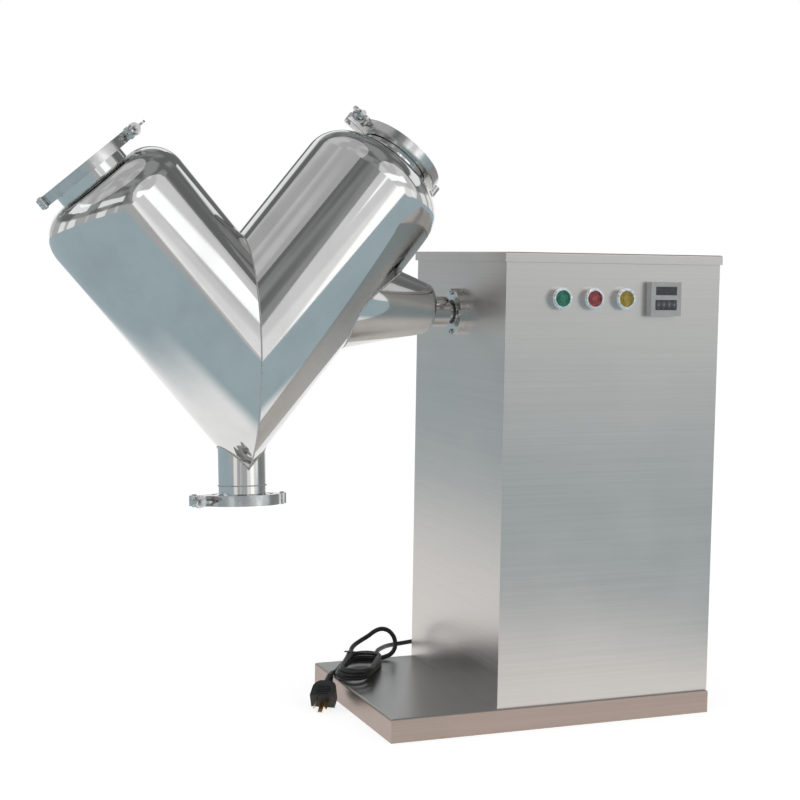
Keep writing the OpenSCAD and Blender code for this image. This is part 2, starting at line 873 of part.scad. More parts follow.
module button_blocks() {
    bore_h = plunger_in + button_travel + plunger_gap;
    color(dark) for (i = [0 : 2]) at_button(i) mirror([0, 0, 1]) translate([0, 0, cab_t])
        difference() {
            union() {
                cylinder(r = nut_ring_r, h = nut_ring_t, $fn = 6);
                cylinder(r = button_hole_r, h = bore_h);
                translate([-block_r, -block_r * 1.3, nut_ring_t + block_gap])
                    cube([2 * block_r, 2.6 * block_r, block_len_y]);
            }
            translate([0, 0, -cut])
                cylinder(r = cap_r - plunger_gap + play, h = cut + bore_h);
        }
}

module timer_case() {
    color(dark) translate([timer_x, cab_front, panel_z]) difference() {
        union() {
            translate([-timer_w / 2, -timer_h, -timer_w / 2]) cube([timer_w, timer_h, timer_w]);
            translate([-timer_hole / 2 + play, -cut, -timer_hole / 2 + play])
                cube([timer_hole - 2 * play, timer_depth, timer_hole - 2 * play]);
        }
        translate([-window_w / 2, -timer_h - cut, window_rise - window_h / 2])
            cube([window_w, timer_wall + cut, window_h]);
        difference() {
            union() {
                translate([-wheel_bay_w / 2, -timer_h - cut, -wheel_strip_drop - wheel_strip_h / 2])
                    cube([wheel_bay_w, timer_wall + 2 * cut, wheel_strip_h]);
                translate([-wheel_bay_w / 2, -timer_h + timer_wall,
                        -wheel_strip_drop - wheel_r - 2 * play])
                    cube([wheel_bay_w, 2 * wheel_r, 2 * wheel_r + 4 * play]);
            }
            wheel_axle();
        }
    }
}

module wheel_axle() {
    translate([-timer_hole / 2 + timer_wall, wheel_r - wheel_out - timer_h, -wheel_strip_drop])
        rotate([0, 90, 0]) cylinder(r = axle_r, h = timer_hole - 2 * timer_wall);
}

module timer_wheel(i) {
    color("ghostwhite")
        translate([timer_x + (i - (wheel_count - 1) / 2) * wheel_pitch - wheel_w / 2,
                cab_front + wheel_r - wheel_out - timer_h, panel_z - wheel_strip_drop])
            rotate([0, 90, 0]) difference() {
                cylinder(r = wheel_r, h = wheel_w);
                translate([0, 0, -cut]) cylinder(r = axle_r + run_fit, h = wheel_w + 2 * cut);
                // Finger notches, one for each of ten digits
                for (a = [0 : 36 : 324]) rotate([0, 0, a]) translate([wheel_r, 0, -cut])
                    cylinder(r = notch_r, h = wheel_w * 0.3 + cut, $fn = 12);
            }
}

module thousands_wheel() {
    timer_wheel(0);
}

module hundreds_wheel() {
    timer_wheel(1);
}

module tens_wheel() {
    timer_wheel(2);
}

module units_wheel() {
    timer_wheel(3);
}

module timer_window() {
    color([0.2, 0.02, 0.02]) translate([timer_x, cab_front - timer_h, panel_z])
        translate([-window_w / 2 + play / 3, play, window_rise - window_h / 2 + play / 3])
            cube([window_w - play * 2 / 3, timer_wall - play, window_h - play * 2 / 3]);
}

// Main shaft and hub

module main_shaft() {
    color("silver") along_x(cone_end - hub_in) translate([-shaft_z, 0, 0])
        cylinder(r = shaft_d / 2, h = gear_x + gear_w / 2 + shaft_end - cone_end + hub_in);
}

module bearing_inner_rings() {
    color("silver") for (x = [near_block_x, far_block_x])
        along_x(x - inner_w / 2) translate([-shaft_z, 0, 0])
            tube(inner_r, shaft_d / 2 + seat_fit, inner_w);
}

module gearbox_output_sleeve() {
    color("silver") along_x(gear_x - gear_w / 2) translate([-shaft_z, 0, 0])
        tube(sleeve_r, shaft_d / 2 + seat_fit, gear_w);
}

module hub_sleeve() {
    color(polished) on_drum() difference() {
        along_x(cone_end - hub_in) tube(hub_d / 2, shaft_d / 2 + seat_fit, hub_out + hub_in);
        for (i = [0, 1]) rotate([-hub_screw_turn + i * hub_screw_step, 0, 0])
            translate([cone_end + hub_out * 0.42, 0, 0]) rotate([90, 0, 0])
                cylinder(r = hub_screw_d / 2, h = hub_d);
    }
}

module hub_screws() {
    color("dimgray") on_drum() for (i = [0, 1])
        rotate([-hub_screw_turn + i * hub_screw_step, 0, 0])
            translate([cone_end + hub_out * 0.42, 0, 0]) rotate([90, 0, 0])
                translate([0, 0, shaft_d / 2 + seat_fit]) difference() {
                    cylinder(r = hub_screw_d / 2 - seat_fit, h = (hub_d - shaft_d) / 2 - screw_sink);
                    translate([0, 0, (hub_d - shaft_d) / 2 - screw_sink - socket_d / 2])
                        cylinder(r = socket_d / 2, h = socket_d, $fn = 6);
                }
}

// Trunnion cone: an outline turned round its own axis, rounded over at the small end

module cone_outline(r, wall) {
    s = sin(cone_half);
    c = cos(cone_half);
    round_r = cone_round - wall;
    flat_r = r - cone_round * (1 - s) / c;
    polygon([[0, cone_round - round_r], [flat_r, cone_round - round_r],
        [flat_r + round_r * c, cone_round - round_r * s],
        [flat_r + round_r * c + (cone_len - cone_round + round_r * s) * s / c, cone_len],
        [0, cone_len]]);
    translate([flat_r, cone_round]) circle(r = round_r);
}

module cone_frame() {
    on_drum() translate([cone_end, 0, cone_rise]) rotate([0, cone_tilt - 90, 0]) children();
}

module trunnion_cone() {
    color(polished) difference() {
        cone_frame() rotate_extrude() cone_outline(cone_r, 0);
        intersection() {
            cone_frame() rotate_extrude() cone_outline(cone_r, cone_wall);
            cone_frame() translate([-leg_d, -leg_d, cone_end_wall])
                cube([2 * leg_d, 2 * leg_d, 2 * leg_d]);
        }
        at_right(-leg_d) cylinder(r = leg_r, h = 2 * right_leg);
        on_drum() along_x(cone_end - hub_in) cylinder(r = hub_d / 2, h = 2 * hub_in);
    }
}

// Drum

module leg_outline(r, round_r, top) {
    square([r - round_r, top]);
    square([r, top - round_r]);
    translate([r - round_r, top - round_r]) circle(r = round_r);
}

module leg_solid(len, inset) {
    foot = leg_r / tan(vee_half) + leg_wall;
    translate([0, 0, -foot]) rotate_extrude()
        leg_outline(leg_r - inset, knuckle_r - inset, len + foot - inset);
}

module vee_solid(inset) {
    for (side = [-1, 1]) on_vee() intersection() {
        rotate([0, side * vee_half, 0]) leg_solid(side < 0 ? left_leg : right_leg, inset);
        translate([side < 0 ? -big : 0, -big / 2, -big / 2]) cube([big, big, big]);
    }
}

module drum_shell() {
    color(polished) difference() {
        vee_solid(0);
        vee_solid(leg_wall);
        at_left(left_leg - 2 * leg_wall) cylinder(r = neck_d / 2, h = neck_h);
        at_right(right_leg - 2 * leg_wall) cylinder(r = neck_d / 2, h = neck_h);
        at_spout(0) cylinder(r = spout_d / 2, h = big / 2);
    }
}

// Ferrules: the tube and its tapered flange, with the gasket's middle at height zero
module ferrule_outline(tube_r, ferrule_r, root, wall) {
    face = -gasket_t / 2;
    polygon([[tube_r - wall, face], [ferrule_r, face], [ferrule_r, face - ferrule_edge],
        [tube_r, face - ferrule_edge - (ferrule_r - tube_r) * tan(ferrule_slope)],
        [tube_r, root], [tube_r - wall, root]]);
}

module charging_necks() {
    root = -neck_h - leg_wall;
    color(polished) {
        at_left(left_leg + neck_h) rotate_extrude()
            ferrule_outline(neck_d / 2, ferrule_d / 2, root, neck_wall);
        at_right(right_leg + neck_h) rotate_extrude()
            ferrule_outline(neck_d / 2, ferrule_d / 2, root, neck_wall);
    }
}

module discharge_spout() {
    color(polished) difference() {
        at_spout(spout_h) rotate_extrude()
            ferrule_outline(spout_d / 2, spout_ferrule_d / 2, -spout_h, neck_wall);
        vee_solid(leg_wall);
    }
}

module cap_outline(ferrule_r) {
    face = gasket_t / 2;
    slope = tan(ferrule_slope);
    polygon([[0, face], [ferrule_r, face], [ferrule_r, face + ferrule_edge],
        [ferrule_r - ferrule_step, face + ferrule_edge + ferrule_step * slope],
        [ferrule_r - ferrule_step - cap_t / 3, face + cap_t], [0, face + cap_t]]);
}

module ferrule_caps() {
    color(polished) {
        left_clamp_frame() rotate_extrude() cap_outline(ferrule_d / 2);
        at_right(right_leg + neck_h) rotate_extrude() cap_outline(ferrule_d / 2);
        spout_clamp_frame() rotate_extrude() cap_outline(spout_ferrule_d / 2);
    }
}

module gasket(ferrule_r, tube_r) {
    translate([0, 0, -gasket_t / 2]) tube(ferrule_r - ferrule_edge / 4, tube_r, gasket_t);
}

module ferrule_gaskets() {
    color("whitesmoke") {
        left_clamp_frame() gasket(ferrule_d / 2, neck_d / 2 - neck_wall);
        right_clamp_frame() gasket(ferrule_d / 2, neck_d / 2 - neck_wall);
        spout_clamp_frame() gasket(spout_ferrule_d / 2, spout_d / 2 - neck_wall);
    }
}

// Clamps: each half is a band with a grooved inside, hinged by a pin at -X and bolted at +X

module band_outline(ferrule_r, out_r) {
    half = gasket_t / 2 + ferrule_edge + seat_fit;
    in_r = ferrule_r - lip;
    rise = (lip + cut) * tan(ferrule_slope);
    difference() {
        union() {
            translate([in_r, -clamp_h / 2]) square([out_r - in_r - band_edge, clamp_h]);
            translate([in_r, -clamp_h / 2 + band_edge])
                square([out_r - in_r, clamp_h - 2 * band_edge]);
        }
        polygon([[in_r - cut, -half - rise], [ferrule_r + play, -half], [ferrule_r + play, half],
            [in_r - cut, half + rise]]);
    }
}

module band(ferrule_r, out_r) {
    rotate_extrude() band_outline(ferrule_r, out_r);
}

// The half towards the operator (side -1) or away from it (side 1)
module half_space(side, out_r) {
    s = 2 * out_r;
    translate([-s, side < 0 ? -s - split / 2 : split / 2, -s / 2]) cube([2 * s, s, s]);
}

module hinge_knuckle(out_r, r, z0, z1) {
    translate([-out_r - hinge_out, 0, z0]) cylinder(r = r, h = z1 - z0);
}

module clamp_front(ferrule_r, out_r) {
    px = out_r + lug_reach;
    half_h = clamp_h / 2;
    difference() {
        union() {
            intersection() {
                band(ferrule_r, out_r);
                half_space(-1, out_r);
            }
            // Forked lug, its face rounded about the swing bolt's pivot
            intersection() {
                translate([out_r - lug_root, -fork_y - cut, -half_h])
                    cube([lug_reach + lug_root + lug_r, fork_y + cut - split / 2, clamp_h]);
                translate([px, pivot_y, -half_h])
                    cylinder(r = pivot_y + fork_y - play, h = clamp_h);
            }
            hinge_knuckle(out_r, hinge_r, -hinge_mid / 2, hinge_mid / 2);
        }
        translate([px - bolt_d / 2 - slide_gap, -2 * fork_y, -bolt_d / 2 - play])
            cube([lug_reach + lug_root + lug_r, 3 * fork_y, bolt_d + 2 * play]);
        for (z = [-half_h - cut, hinge_mid / 2])
            hinge_knuckle(out_r, hinge_r + play, z, z + half_h + cut - hinge_mid / 2);
        hinge_knuckle(out_r, hinge_pin_r + seat_fit, -half_h, half_h);
    }
}

module clamp_rear(ferrule_r, out_r) {
    px = out_r + lug_reach;
    half_h = clamp_h / 2;
    difference() {
        union() {
            intersection() {
                band(ferrule_r, out_r);
                half_space(1, out_r);
            }
            // Two ears that hold the swing bolt's pin
            translate([out_r - lug_root, split / 2, -half_h])
                cube([lug_reach + lug_root, pivot_y + lug_r - split / 2, clamp_h]);
            translate([px, pivot_y, -half_h]) cylinder(r = lug_r, h = clamp_h);
            for (z = [-half_h, hinge_mid / 2 + play])
                hinge_knuckle(out_r, hinge_r, z, z + half_h - hinge_mid / 2 - play);
        }
        translate([px - lug_r - slide_gap, -fork_y, -eye_h / 2 - play])
            cube([lug_reach + lug_root + lug_r, 3 * fork_y, eye_h + 2 * play]);
        translate([px, pivot_y, -half_h - cut]) cylinder(r = pin_r + seat_fit, h = clamp_h + 2 * cut);
        hinge_knuckle(out_r, hinge_r + play, -hinge_mid / 2 - play, hinge_mid / 2 + play);
        hinge_knuckle(out_r, hinge_pin_r + seat_fit, -half_h - cut, half_h + cut);
    }
}

module clamp_front_halves() {
    color("silver") {
        left_clamp_frame() clamp_front(ferrule_d / 2, clamp_d / 2);
        right_clamp_frame() clamp_front(ferrule_d / 2, clamp_d / 2);
        spout_clamp_frame() clamp_front(spout_ferrule_d / 2, spout_clamp_d / 2);
    }
}

module clamp_rear_halves() {
    color("silver") {
        left_clamp_frame() clamp_rear(ferrule_d / 2, clamp_d / 2);
        right_clamp_frame() clamp_rear(ferrule_d / 2, clamp_d / 2);
        spout_clamp_frame() clamp_rear(spout_ferrule_d / 2, spout_clamp_d / 2);
    }
}

module headed_pin(r, head_r) {
    half_h = clamp_h / 2;
    union() {
        translate([0, 0, -half_h - pin_head_t]) cylinder(r = r, h = clamp_h + 2 * pin_head_t);
        for (side = [-1, 1]) translate([0, 0, side * half_h]) rotate([0, side < 0 ? 180 : 0, 0])
            intersection() {
                cylinder(r = head_r, h = pin_head_t);
                translate([0, 0, pin_head_t - 1.4 * head_r]) sphere(r = 1.4 * head_r);
            }
    }
}

module clamp_pin_pair(out_r) {
    translate([out_r + lug_reach, pivot_y, 0]) headed_pin(pin_r, pin_head_r);
    translate([-out_r - hinge_out, 0, 0]) headed_pin(hinge_pin_r, pin_head_r);
}

module clamp_pins() {
    color("dimgray") {
        left_clamp_frame() clamp_pin_pair(clamp_d / 2);
        right_clamp_frame() clamp_pin_pair(clamp_d / 2);
        spout_clamp_frame() clamp_pin_pair(spout_clamp_d / 2);
    }
}

// Swing bolt: an eye round the pivot pin and a plain rod towards the operator
module swing_bolt(out_r) {
    color("silver") translate([out_r + lug_reach, pivot_y, 0]) difference() {
        union() {
            translate([0, 0, -eye_h / 2]) cylinder(r = lug_r, h = eye_h);
            rotate([90, 0, 0]) cylinder(r = bolt_d / 2, h = bolt_len - bolt_edge);
            rotate([90, 0, 0]) cylinder(r = bolt_d / 2 - bolt_edge, h = bolt_len);
        }
        translate([0, 0, -eye_h]) cylinder(r = pin_r + run_fit, h = 2 * eye_h);
    }
}

module on_bolt(out_r) {
    translate([out_r + lug_reach, -fork_y, 0]) rotate([90, 0, 0]) children();
}

module washer(out_r) {
    color("silver") on_bolt(out_r) tube(washer_r, bolt_d / 2 + run_fit * 2, washer_t);
}

module wing_nut(out_r) {
    color("silver") on_bolt(out_r) translate([0, 0, washer_t]) difference() {
        union() {
            cylinder(r = nut_r, h = nut_h * 0.4);
            translate([0, 0, nut_h * 0.4]) cylinder(r1 = nut_r, r2 = nut_top_r, h = nut_h * 0.6);
            for (side = [-1, 1]) rotate([90, 0, 0]) translate([0, 0, -wing_t / 2])
                linear_extrude(wing_t) {
                    translate([side * (wing_span / 2 - wing_r), wing_lift]) circle(r = wing_r);
                    polygon([[0, nut_h * 0.2], [side * nut_r, nut_h * 0.2],
                        [side * wing_span / 2, wing_lift],
                        [side * (wing_span / 2 - 2 * wing_r), wing_lift], [0, nut_h * 0.9]]);
                }
        }
        translate([0, 0, -cut]) cylinder(r = bolt_d / 2 + run_fit, h = 4 * nut_h);
    }
}

module left_swing_bolt() {
    left_clamp_frame() swing_bolt(clamp_d / 2);
}

module right_swing_bolt() {
    right_clamp_frame() swing_bolt(clamp_d / 2);
}

module spout_swing_bolt() {
    spout_clamp_frame() swing_bolt(spout_clamp_d / 2);
}

module left_washer() {
    left_clamp_frame() washer(clamp_d / 2);
}

module right_washer() {
    right_clamp_frame() washer(clamp_d / 2);
}

module spout_washer() {
    spout_clamp_frame() washer(spout_clamp_d / 2);
}

module left_wing_nut() {
    left_clamp_frame() wing_nut(clamp_d / 2);
}

module right_wing_nut() {
    right_clamp_frame() wing_nut(clamp_d / 2);
}

module spout_wing_nut() {
    spout_clamp_frame() wing_nut(spout_clamp_d / 2);
}

// Mains cord

function unit(v) = v / norm(v);
function spline(p0, p1, p2, p3, t) =
    ((2 * p1) + (p2 - p0) * t + (2 * p0 - 5 * p1 + 4 * p2 - p3) * t * t
        + (3 * p1 - p0 - 3 * p2 + p3) * t * t * t) / 2;
function smooth(p, n) = [
    for (i = [0 : len(p) - 2]) let (a = p[max(i - 1, 0)], d = p[min(i + 2, len(p) - 1)])
        for (k = [0 : n - 1]) spline(a, p[i], p[i + 1], d, k / n),
    p[len(p) - 1]];

module cord_tube(route, r) {
    sides = 10;
    p = smooth(route, 2);
    last = len(p) - 1;
    rings = [for (i = [0 : last])
        let (t = unit(p[min(i + 1, last)] - p[max(i - 1, 0)]), s = unit(cross(t, [0, 0, 1])),
            u = cross(s, t))
            for (k = [0 : sides - 1])
                p[i] + r * (cos(k * 360 / sides) * s + sin(k * 360 / sides) * u)];
    faces = [
        [for (k = [0 : sides - 1]) k],
        for (i = [0 : last - 1], k = [0 : sides - 1])
            [i * sides + k, (i + 1) * sides + k, (i + 1) * sides + (k + 1) % sides,
                i * sides + (k + 1) % sides],
        [for (k = [sides - 1 : -1 : 0]) last * sides + k]];
    color(rubber) polyhedron(points = rings, faces = faces);
}

module cord_lead() {
    cord_tube(lead_route, cord_d / 2);
}

module cord_tail() {
    cord_tube(link_route, cord_d / 2);
    cord_tube(tail_route, cord_d / 2);
}

// The folded hank on the tray, fanned out from its tied end, and the loop that stands up beside it
module cord_hank() {
    color(rubber) union() {
        translate([hank_pivot[0], hank_pivot[1], base_h + play]) rotate([0, 0, hank_turn])
            linear_extrude(hank_h - play) {
                circle(r = hank_w / 2);
                translate([-hank_reach, -hank_w / 2]) square([hank_reach, hank_w]);
                translate([-hank_reach, 0]) circle(r = hank_w / 2);
            }
        translate([loop_at[0], loop_at[1], base_h]) rotate([0, 0, loop_turn])
            rotate([90, 0, 0]) translate([0, 0, -loop_t / 2])
                linear_extrude(loop_t) {
                    translate([-loop_w / 2, play]) square([loop_w, loop_h - loop_w / 2 - play]);
                    translate([0, loop_h - loop_w / 2]) circle(r = loop_w / 2);
                }
    }
}

module cord_tie() {
    color("black") translate([hank_pivot[0], hank_pivot[1], base_h + hank_h])
        rotate([0, 0, hank_turn]) translate([-hank_reach / 4, -hank_w / 2, 0])
            cube([tie_w, hank_w, tie_t]);
}

module cable_gland() {
    y = cab_back - panel_gap;
    neck = gland_nut_h + gland_r / 2;
    color(dark) translate([gland_x, y, gland_z]) rotate([-90, 0, 0]) difference() {
        union() {
            cylinder(r = gland_r + gland_flats, h = gland_nut_h, $fn = 6);
            cylinder(r = gland_r, h = neck);
            translate([0, 0, neck]) cylinder(r1 = gland_r, r2 = cord_d / 2 + gland_lip, h = gland_cone_h);
            translate([0, 0, -cab_t - gland_nut_h])
                cylinder(r = gland_r - 2 * play, h = cab_t + 2 * gland_nut_h);
        }
        translate([0, 0, -cab_t - gland_nut_h - cut])
            cylinder(r = cord_d / 2, h = cab_t + 2 * gland_nut_h + neck + gland_cone_h + 2 * cut);
    }
}

module plug_frame() {
    translate(plug_at) rotate([0, 0, plug_turn]) rotate([0, plug_dip, 0]) rotate([0, 90, 0])
        children();
}

module plug_body() {
    color(rubber) plug_frame() union() {
        cylinder(r1 = cord_d / 2 + gland_lip, r2 = plug_collar_r, h = plug_collar_l);
        translate([0, 0, plug_collar_l]) intersection() {
            translate([-plug_t / 2, -plug_r, -plug_lap])
                cube([plug_t, 2 * plug_r, plug_l + plug_lap]);
            rotate([0, 90, 0]) translate([-plug_l + plug_r, 0, -plug_t])
                cylinder(r = plug_r, h = 2 * plug_t);
        }
        translate([-plug_t / 2, -plug_r, plug_collar_l + plug_l - plug_r])
            cube([plug_t, 2 * plug_r, plug_r]);
    }
}

module plug_pins() {
    z = plug_collar_l + plug_l;
    color("goldenrod") plug_frame() translate([0, 0, z]) {
        translate([plug_pin_drop - blade_t / 2, -blade_w / 2, 0]) cube([blade_t, blade_w, blade_l]);
        for (side = [-1, 1]) translate([-plug_t / 8, side * plug_r * 0.45, 0])
            rotate([0, 0, side * side_pin_turn]) translate([-blade_w / 2, -blade_t / 2, 0])
                cube([blade_w, blade_t, blade_l - plug_lap]);
    }
}

base_frame();
base_tray();
cabinet_shell();
back_panel();
back_panel_screws();
lid();
bearing_stand();
drive_bolts();
pillow_blocks();
wall_flange();
wall_flange_screws();
shaft_seal();
gearbox_housing();
motor_housing();
motor_rear_shield();
fan_cover();
control_gear();
button_bezels();
button_blocks();
timer_case();
timer_window();
thousands_wheel();
hundreds_wheel();
tens_wheel();
units_wheel();
cable_gland();
cord_lead();
cord_hank();
cord_tail();
cord_tie();
plug_body();
plug_pins();
main_shaft();
bearing_inner_rings();
gearbox_output_sleeve();
trunnion_cone();
hub_sleeve();
hub_screws();
drum_shell();
charging_necks();
discharge_spout();
ferrule_gaskets();
ferrule_caps();
clamp_front_halves();
clamp_rear_halves();
clamp_pins();
left_swing_bolt();
right_swing_bolt();
spout_swing_bolt();
left_washer();
right_washer();
spout_washer();
left_wing_nut();
right_wing_nut();
spout_wing_nut();
green_button();
red_button();
yellow_button();
motor_rotor();
motor_fan();
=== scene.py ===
import math

import bmesh
import bpy
from mathutils import Matrix, Vector


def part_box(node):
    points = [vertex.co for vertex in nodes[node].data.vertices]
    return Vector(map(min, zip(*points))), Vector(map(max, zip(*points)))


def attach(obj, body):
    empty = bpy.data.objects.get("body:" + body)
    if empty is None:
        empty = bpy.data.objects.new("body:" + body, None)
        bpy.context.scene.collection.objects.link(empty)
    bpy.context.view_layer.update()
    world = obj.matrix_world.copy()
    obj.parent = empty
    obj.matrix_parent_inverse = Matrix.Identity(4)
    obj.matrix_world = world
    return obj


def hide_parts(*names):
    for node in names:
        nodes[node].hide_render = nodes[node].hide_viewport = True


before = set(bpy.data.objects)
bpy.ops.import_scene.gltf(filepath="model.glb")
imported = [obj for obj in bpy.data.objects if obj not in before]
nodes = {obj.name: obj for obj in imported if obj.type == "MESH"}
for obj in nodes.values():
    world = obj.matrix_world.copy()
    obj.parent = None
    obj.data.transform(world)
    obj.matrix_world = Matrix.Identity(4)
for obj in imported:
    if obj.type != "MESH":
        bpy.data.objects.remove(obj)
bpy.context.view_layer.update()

# The photographer's camera
# It stands a little above the lid, left of the machine, and looks slightly down and to the right.
# Its place and lens were worked out from the edges of the cabinet and the base.
camera_at = Vector((-1.0213, -2.1457, 0.6512))
camera_yaw, camera_pitch, camera_roll = (math.radians(a) for a in (21.438, 4.944, 0.92))
lens_mm = 72.36

ahead = Vector((math.sin(camera_yaw) * math.cos(camera_pitch),
                math.cos(camera_yaw) * math.cos(camera_pitch), -math.sin(camera_pitch)))
level_right = Vector((math.cos(camera_yaw), -math.sin(camera_yaw), 0))
level_up = level_right.cross(ahead)
camera_right = level_right * math.cos(camera_roll) + level_up * math.sin(camera_roll)
camera_up = level_up * math.cos(camera_roll) - level_right * math.sin(camera_roll)
camera_data = bpy.data.cameras.new("camera")
camera_data.lens = lens_mm
camera_data.sensor_width = 36
camera_data.clip_end = 60
camera = bpy.data.objects.new("camera", camera_data)
turn = Matrix((camera_right, camera_up, -ahead)).transposed()
camera.matrix_world = Matrix.Translation(camera_at) @ turn.to_4x4()
bpy.context.scene.collection.objects.link(camera)
bpy.context.scene.camera = camera
bpy.context.scene.view_settings.view_transform = "Standard"


# The mains cord
# One length of black rubber cord leaves the gland at the back, rounds the cabinet's corner, lies in a
# tied hank of nearly three turns on the tray, stands up in one loop and ends in a plug beside the base.
def add_node(tree, kind, sockets=None, out=0, **settings):
    """Adds one node: first its settings, then the values or links of its sockets."""
    node = tree.nodes.new(kind)
    for name, value in settings.items():
        setattr(node, name, value)
    for port, value in (sockets or {}).items():
        if isinstance(value, Wire):
            tree.links.new(value.socket, node.inputs[port])
        elif value is not None:
            node.inputs[port].default_value = value
    return Wire(tree, node.outputs[out])


class Wire:
    """A node's output, which Python's operators join to Math nodes."""

    def __init__(self, tree, socket):
        self.tree, self.socket = tree, socket

    def math(self, operation, first=None, second=None):
        return add_node(self.tree, "ShaderNodeMath", {0: self if first is None else first, 1: second},
                        operation=operation)

    def __add__(self, other):
        return self.math("ADD", self, other)

    def __radd__(self, other):
        return self.math("ADD", other, self)

    def __sub__(self, other):
        return self.math("SUBTRACT", self, other)

    def __rsub__(self, other):
        return self.math("SUBTRACT", other, self)

    def __mul__(self, other):
        return self.math("MULTIPLY", self, other)

    def __rmul__(self, other):
        return self.math("MULTIPLY", other, self)

    def __truediv__(self, other):
        return self.math("DIVIDE", self, other)

    def __pow__(self, other):
        return self.math("POWER", self, other)

    def ramp(self, low, high, out_low=0.0, out_high=1.0):
        """out_low below low and out_high above high, with a smooth step between."""
        return add_node(self.tree, "ShaderNodeMapRange",
                        {"Value": self, "From Min": low, "From Max": high, "To Min": out_low, "To Max": out_high},
                        out="Result", interpolation_type="SMOOTHSTEP")

    def blend(self, first, second):
        """The colour first where this wire is 0, and second where it is 1."""
        first, second = (c if isinstance(c, Wire) else (*c, 1) for c in (first, second))
        return add_node(self.tree, "ShaderNodeMix", {0: self, 6: first, 7: second}, out=2, data_type="RGBA")


class Finish:
    """A material under way: its tree, its main shader and the textures that drive them."""

    def __init__(self, name, colour, metallic=0.0, roughness=0.5, **sockets):
        self.material = bpy.data.materials.new(name)
        self.material.use_nodes = True
        self.tree = self.material.node_tree
        self.shader = self.tree.nodes["Principled BSDF"]
        self.normal = None
        self.shader.inputs["Base Color"].default_value = (*colour, 1)
        self.shader.inputs["Metallic"].default_value = metallic
        self.shader.inputs["Roughness"].default_value = roughness
        for socket, value in sockets.items():
            self.shader.inputs[socket.replace("_", " ")].default_value = value

    def spot(self, stretch=(1, 1, 1), place=None):
        """Object coordinates, brought into a place's own frame if one is given, and then scaled."""
        here = add_node(self.tree, "ShaderNodeTexCoord", out="Object")
        if place is not None:
            back = place.inverted()
            here = add_node(self.tree, "ShaderNodeMapping", {"Vector": here, "Rotation": back.to_euler(),
                                                             "Location": back.to_translation()})
        return add_node(self.tree, "ShaderNodeMapping", {"Vector": here, "Scale": stretch})

    def noise(self, scale, detail=3, roughness=0.55, stretch=(1, 1, 1), place=None):
        return add_node(self.tree, "ShaderNodeTexNoise", {"Vector": self.spot(stretch, place), "Scale": scale,
                                                          "Detail": detail, "Roughness": roughness})

    def along(self, axis, place=None):
        return add_node(self.tree, "ShaderNodeSeparateXYZ", {0: self.spot(place=place)}, out=axis)

    def from_axis(self, place):
        """The distance from the Z axis of a place."""
        x, y = self.along("X", place), self.along("Y", place)
        return (x * x + y * y) ** 0.5

    def set(self, socket, wire):
        self.tree.links.new(wire.socket, self.shader.inputs[socket])
        return self

    def bump(self, wire, height):
        self.normal = add_node(self.tree, "ShaderNodeBump", {"Height": wire, "Distance": height,
                                                             "Normal": self.normal})
        return self.set("Normal", self.normal)


def paint(piece, finish):
    piece.data.materials.clear()
    piece.data.materials.append(finish.material)


def black_rubber(name):
    finish = Finish(name, (0.012, 0.012, 0.013), roughness=0.42)
    dust = finish.noise(90, detail=4)
    finish.set("Base Color", dust.ramp(0.45, 0.8).blend((0.016, 0.017, 0.016), (0.045, 0.047, 0.045)))
    finish.set("Roughness", finish.noise(240, detail=2).ramp(0.3, 0.7, 0.34, 0.52))
    finish.bump(finish.noise(900, detail=2), 0.0001)
    return finish


cord_d = 0.007
lead_route = [(-0.062, 0.186, 0.0465), (-0.062, 0.190, 0.0465), (-0.064, 0.201, 0.045),
              (-0.070, 0.210, 0.0425), (-0.079, 0.216, 0.040), (-0.090, 0.217, 0.0387),
              (-0.101, 0.213, 0.039), (-0.112, 0.204, 0.0403), (-0.122, 0.193, 0.042),
              (-0.131, 0.181, 0.0435), (-0.140, 0.169, 0.0448), (-0.147, 0.159, 0.0453),
              (-0.152, 0.149, 0.0452), (-0.155, 0.138, 0.0435), (-0.157, 0.128, 0.0405),
              (-0.159, 0.119, 0.038), (-0.163, 0.109, 0.0367)]
link_route = [(-0.199, 0.134, 0.0585), (-0.190, 0.145, 0.061), (-0.178, 0.152, 0.065),
              (-0.165, 0.156, 0.070), (-0.153, 0.158, 0.0765), (-0.142, 0.158, 0.0795),
              (-0.131, 0.157, 0.0765), (-0.123, 0.1555, 0.068), (-0.120, 0.154, 0.058),
              (-0.122, 0.151, 0.0485), (-0.129, 0.148, 0.0415)]
tail_route = [(-0.140, 0.146, 0.038), (-0.153, 0.1445, 0.0366), (-0.167, 0.147, 0.0366),
              (-0.182, 0.1515, 0.0366), (-0.197, 0.148, 0.0366), (-0.210, 0.137, 0.0366),
              (-0.221, 0.121, 0.0366), (-0.231, 0.104, 0.0366), (-0.242, 0.088, 0.0369),
              (-0.252, 0.075, 0.0383), (-0.259, 0.061, 0.0382)]
hank_pivot = Vector((-0.186, 0.112))
hank_turns = 3
last_turn_short = 0.2
points_in_turn = 24
hank_fold = 0.0225
hank_base = 0.0366
hank_layer = 0.0072
first_turn, last_turn = 53, 64
first_reach, last_reach = 0.066, 0.086


